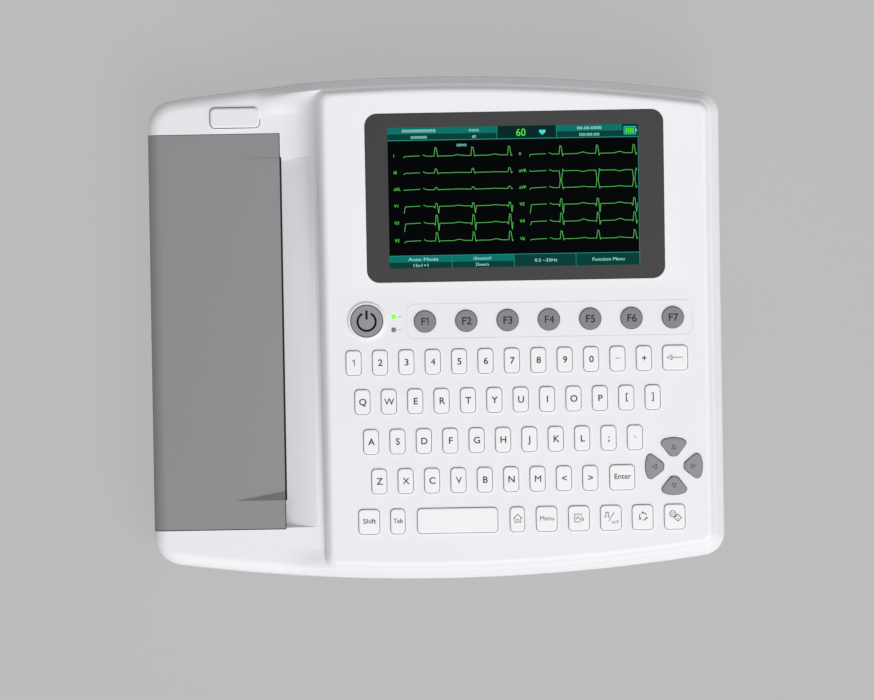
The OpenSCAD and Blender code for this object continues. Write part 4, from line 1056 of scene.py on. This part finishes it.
def lead_trace(art, start, end, beats, v, rise, dip, hump, foot):
    art.line([lit(start, v + foot), lit(start + .005, v), lit(start + .065, v - .004)],
             TRACE_W, "trace")
    points = [lit(start + .078, v - .010), lit(start + .092, v), lit(start + .100, v)]
    for k, beat in enumerate(beats):
        if k:
            middle = beats[k - 1] + .088
            points += [lit(middle - .022, v - .001), lit(middle, v - hump),
                       lit(middle + .022, v - .001)]
        for du, dv in ((-.012, 0), (-.007, dip * .25 if dip > .02 else 0), (-.003, -rise),
                       (.002, -rise * .92), (.0075, dip), (.011, 0)):
            if beat + du <= end:
                points.append(lit(beat + du, v + dv))
    art.line(points, TRACE_W, "trace")


def display_picture():
    inks = {name: (glow("picture_" + name, rgb), height)
            for name, (rgb, height) in PICTURE_INKS.items()}
    art = Decal(DISPLAY_PLANE, 0.0, inks)
    panels(art)
    write(art, PATIENT_TEXT)
    heart(art)
    write(art, CLOCK_TEXT)
    battery(art)
    write(art, FOOTER_TEXT)
    for label_u, start, end, beats, leads in TRACES:
        for name, v, *shape in leads:
            x, y = lit(label_u, v)
            art.text(name, x, y + .6, 1.9, "label", align="LEFT")
            lead_trace(art, start, end, beats, v, *shape)
    art.done("display_picture", "base", "display")


display_picture()

# ---------------------------------------------------------------- legends
# drawn signs, as strokes of (x shift, y shift, width, closed, points)
SIGNS = {
    "BACK": [(0, 0, .38, False, [(-2.6, .2), (4.6, .2)]),
             (0, 0, .34, True, [(-4.8, .2), (-1.9, 1.75), (-1.9, -1.35)])],
    "HOME": [(.3, .4, .4, False, [(-2.6, .2), (0, 2.6), (2.6, .2)]),
             (.3, .4, .34, False, [(-1.8, .5), (-1.8, -2.2), (-.6, -2.2), (-.6, -.5), (.6, -.5),
                                   (.6, -2.2), (1.8, -2.2), (1.8, .5)])],
    "PAGE": [(-.1, .3, .40, False, [(1.6, 2.3), (-2.4, 2.3), (-2.4, -2.5), (1.0, -2.5)]),
             (-.1, .3, .32, False, [(1.9, 2.3), (1.9, .9)]),
             (-.1, .3, .3, False, [(-1.5, -.9), (-.5, 1.2), (.4, -.9)]),
             (-.1, .3, .26, False, [(-1.1, -.2), (.1, -.2)]),
             (-.1, .3, .32, True, circle(.95, 2.0, -.9, 14)),
             (-.1, .3, .26, False, [(1.4, -.9), (2.6, -.9)])],
    "PULSE": [(-1.4, 1.9, .40, False, [(-2.6, -1.4), (-1.6, -1.4), (-1.6, 1.5), (-.1, 1.5),
                                       (-.1, -1.4), (.7, -1.4)]),
              (-1.4, 1.9, .38, False, [(.2, -3.9), (3.4, 1.4)])],
    "CYCLE": [],
    "DUAL": [(-1.1, 1.8, .42, True, circle(1.85, steps=20)),
             (-1.1, 1.8, .28, False, [(-1.1, .5), (1.1, .5)]),
             (-1.1, 1.8, .28, False, [(-.9, -.5), (.9, -.5)]),
             (1.9, -.6, .42, True, [(-2.2, 0), (0, 2.2), (2.2, 0), (0, -2.2)]),
             (1.9, -.6, .28, False, [(0, -1.0), (0, 1.0)])],
}
for k in range(3):  # three arrows chasing round a circle
    start = math.radians(120 * k + 20)
    points = [(2.25 * math.cos(start + j * .22), 2.25 * math.sin(start + j * .22))
              for j in range(8)]
    x, y = points[-1]
    heading = start + 7 * .22 + math.pi / 2
    head = [(x - 1.1 * math.cos(a), y - 1.1 * math.sin(a)) for a in (heading - .7, heading + .9)]
    SIGNS["CYCLE"] += [(.3, .5, .46, False, points),
                       (.3, .5, .36, False, [head[0], (x, y), head[1]])]

# (y shift, height, boldness, widening)
WORDS = {"Shift": (.45, 2.85, .012, 1.12), "Tab": (.45, 2.7, .012, 1.0),
         "Menu": (.45, 2.75, 0.0, 1.0), "Enter": (.7, 3.25, .012, 1.0)}
LETTER_H, F_H = 3.95, 4.5


def legend(up, surface):
    """Artwork in one ink above the key plane; "over" is a second coat of it."""
    return Decal(KEY_PLANE, up, {"ink": (MATS[surface], 0.0), "over": (MATS[surface], .004)})


def key_label(art, x, y, label):
    if label in SIGNS:
        for dx, dy, width, closed, points in SIGNS[label]:
            art.line([(x + dx + px, y + dy + py) for px, py in points], width, closed=closed)
        if label == "PULSE":
            art.text("mV", x + 2.7, y - 2.5, 2.3)
    elif label in WORDS:
        dy, height, bold, widen = WORDS[label]
        art.text(label, x + .2, y + dy, height, bold=bold, widen=widen)
    elif label == "1":
        art.one(x + .5, y + .1, LETTER_H)
    elif label == "-":
        art.line([(x - 1.0, y + .3), (x + 1.4, y + .3)], .36)
    elif label in "MWVX4":  # thickened by a second, shifted coat
        art.text(label, x + .25, y + .1, LETTER_H, widen=1.04)
        art.text(label, x + .36, y + .1, LETTER_H, "over", widen=1.04)
    elif label == "'":
        art.text(label, x + .1, y - .9, LETTER_H)
    elif label in "[]":
        art.text(label, x + .25, y + .9, LETTER_H, bold=0.008)
    else:
        art.text(label, x + .25, y + .1, LETTER_H, bold=0.016, widen=1.04)


def f_legend(number, x, y):
    art = legend(PAD_UP + PRINT_UP, "legend_dark")
    if number == 1:
        art.text("F", x - 1.1, y + .1, F_H, bold=0.014)
        art.one(x + 1.9, y + .1, F_H)
    elif number == 4:
        art.text("F4", x + .2, y + .1, F_H)
        art.text("F4", x + .32, y + .1, F_H, "over")
    else:
        art.text("F%d" % number, x + .2, y + .1, F_H, bold=0.014)
    art.done("f%d_legend" % number, BODY_OF["f%d_key" % number])


def power_legend():
    art = legend(POWER_UP + PRINT_UP, "power_ink")
    x, y = POWER
    angles = [math.radians(122 + 296 * i / 40) for i in range(41)]
    art.line([(x + 5.5 * math.cos(a), y - .5 + 5.5 * math.sin(a)) for a in angles], 1.25)
    art.line([(x, y + 1.4), (x, y + 5.9)], 1.35)
    art.done("power_legend", BODY_OF["power_button"])


def led_marks():
    art = legend(0.02, "legend_pale")
    for x, y in LEDS:
        art.rect(x + 2.7, y - .2, x + 4.0, y + .2)
        art.rect(x + 4.3, y - .2, x + 4.9, y + .2)
    art.done("led_marks", "base")


def led_lenses():
    # (radius, z in the key plane), from the foot to the domed top
    profile = ((1.5, -6.9), (1.5, 0.1), (1.35, 0.32), (0.9, 0.46), (0.3, 0.5))
    lenses = bmesh.new()
    for k, centre_xy in enumerate(LEDS):
        lens = loft([[(x, y, z) for x, y in circle(radius, *centre_xy, 24)]
                     for radius, z in profile])
        lens.transform(KEY_PLANE)
        for face in lens.faces:
            face.material_index = k
        merge(lenses, lens)
    finish(new_object("led_lenses", lenses), [MATS["led_green"], MATS["led_off"]],
           "base", "status_leds")


for node, keys in ROWS.items():
    if node != "space_key":
        art = legend(KEY_UP + PRINT_UP, "legend_ink")
        for x, y, _, _, label in keys:
            key_label(art, x, y, label)
        art.done(short_name(node) + "_legends", BODY_OF[node])
for i, (x, y) in enumerate(F_KEYS):
    f_legend(i + 1, x, y)
power_legend()
for quarter, name in enumerate(ARROWS):
    art = legend(PAD_UP + PRINT_UP, "legend_dark")
    art.line(on_pad([(13.0, 0), (10.6, 1.3), (10.6, -1.3)], quarter), .32, closed=True)
    art.done("arrow_%s_legend" % name, BODY_OF["arrow_%s_key" % name])
led_marks()
led_lenses()

# ---------------------------------------------------------------- CAD pieces that stay in view
SOFT_EDGED = ("bottom_case", "paper_bin", "battery_door", "stepper_motor", "drive_plate",
              "head_bracket", "latch_hook", "battery_pack", "ac_inlet")
for node, piece in NODES.items():
    if piece.hide_render:
        continue
    weld = piece.modifiers.new("weld", "WELD")
    weld.merge_threshold = 1e-6
    if node in SOFT_EDGED:
        bevel(piece, 0.5 if node == "bottom_case" else 0.3, segments=2)


# ---------------------------------------------------------------- stage, in metres
def stage_floor():
    half = 4.0
    sheet = bmesh.new()
    corners = ((-half, -half, 0), (half, -half, 0), (half, half, 0), (-half, half, 0))
    sheet.faces.new([sheet.verts.new(corner) for corner in corners])
    floor = new_object("floor", sheet, smooth=False)
    floor.data.materials.append(MATS["floor_grey"])
    return floor


def studio_world():
    """A white studio that falls off behind and to the left of the machine."""
    strength, dimmest = 0.535, 0.30
    world = bpy.data.worlds.new("studio")
    bpy.context.scene.world = world
    world.use_nodes = True
    nodes, links = world.node_tree.nodes, world.node_tree.links
    background = nodes["Background"]
    background.inputs[0].default_value = (1, 1, 1, 1)
    place = nodes.new("ShaderNodeTexCoord")
    toward = nodes.new("ShaderNodeVectorMath")
    toward.operation = "DOT_PRODUCT"
    toward.inputs[1].default_value = (-0.35, 0.90, 0.0)
    links.new(place.outputs["Generated"], toward.inputs[0])
    fade = nodes.new("ShaderNodeMapRange")
    fade.inputs["From Min"].default_value = 0.0
    fade.inputs["From Max"].default_value = 1.0
    fade.inputs["To Min"].default_value = strength
    fade.inputs["To Max"].default_value = strength * dimmest
    links.new(toward.outputs["Value"], fade.inputs["Value"])
    links.new(fade.outputs["Result"], background.inputs[1])


def key_light():
    place, aim = Vector((1.3, -2.15, 3.4)), Vector((0, 0, 0.03))
    light = bpy.data.lights.new("key", "AREA")
    light.shape = "SQUARE"
    light.size = 3.0
    light.energy = 110
    obj = link("key", light)
    obj.location = place
    obj.rotation_euler = (aim - place).to_track_quat("-Z", "Y").to_euler()


def floor_wash(floor):
    """An even wash on the floor alone, so that the shadows on it stay pale."""
    wash = bpy.data.lights.new("floor_wash", "SUN")
    wash.energy = 4.4 * math.pi
    wash.use_shadow = False
    wash.specular_factor = 0.0
    obj = link("floor_wash", wash)
    only_floor = bpy.data.collections.new("floor_only")
    only_floor.objects.link(floor)
    obj.light_linking.receiver_collection = only_floor


def camera():
    """Looks straight down, turned a little about the vertical."""
    height, turn = 5.0, math.radians(1.0)
    subject_z, view_width = 0.045, 532.43984 * MM  # the view's width at subject_z
    lens = bpy.data.cameras.new("camera")
    obj = link("camera", lens)
    right = Vector((math.cos(turn), -math.sin(turn), 0))
    ahead = Vector((math.sin(turn), math.cos(turn), 0))
    obj.location = (0.0004, -0.0134, height)
    obj.rotation_euler = Matrix((right, ahead, Vector((0, 0, 1)))).transposed().to_euler()
    lens.sensor_fit = "HORIZONTAL"
    lens.sensor_width = 36.0
    lens.lens = 36.0 * (height - subject_z) / view_width
    lens.clip_start = 0.1
    lens.clip_end = 50
    bpy.context.scene.camera = obj


floor = stage_floor()
studio_world()
key_light()
floor_wash(floor)
camera()
bpy.context.scene.view_settings.view_transform = "Standard"
bpy.context.scene.view_settings.look = "None"
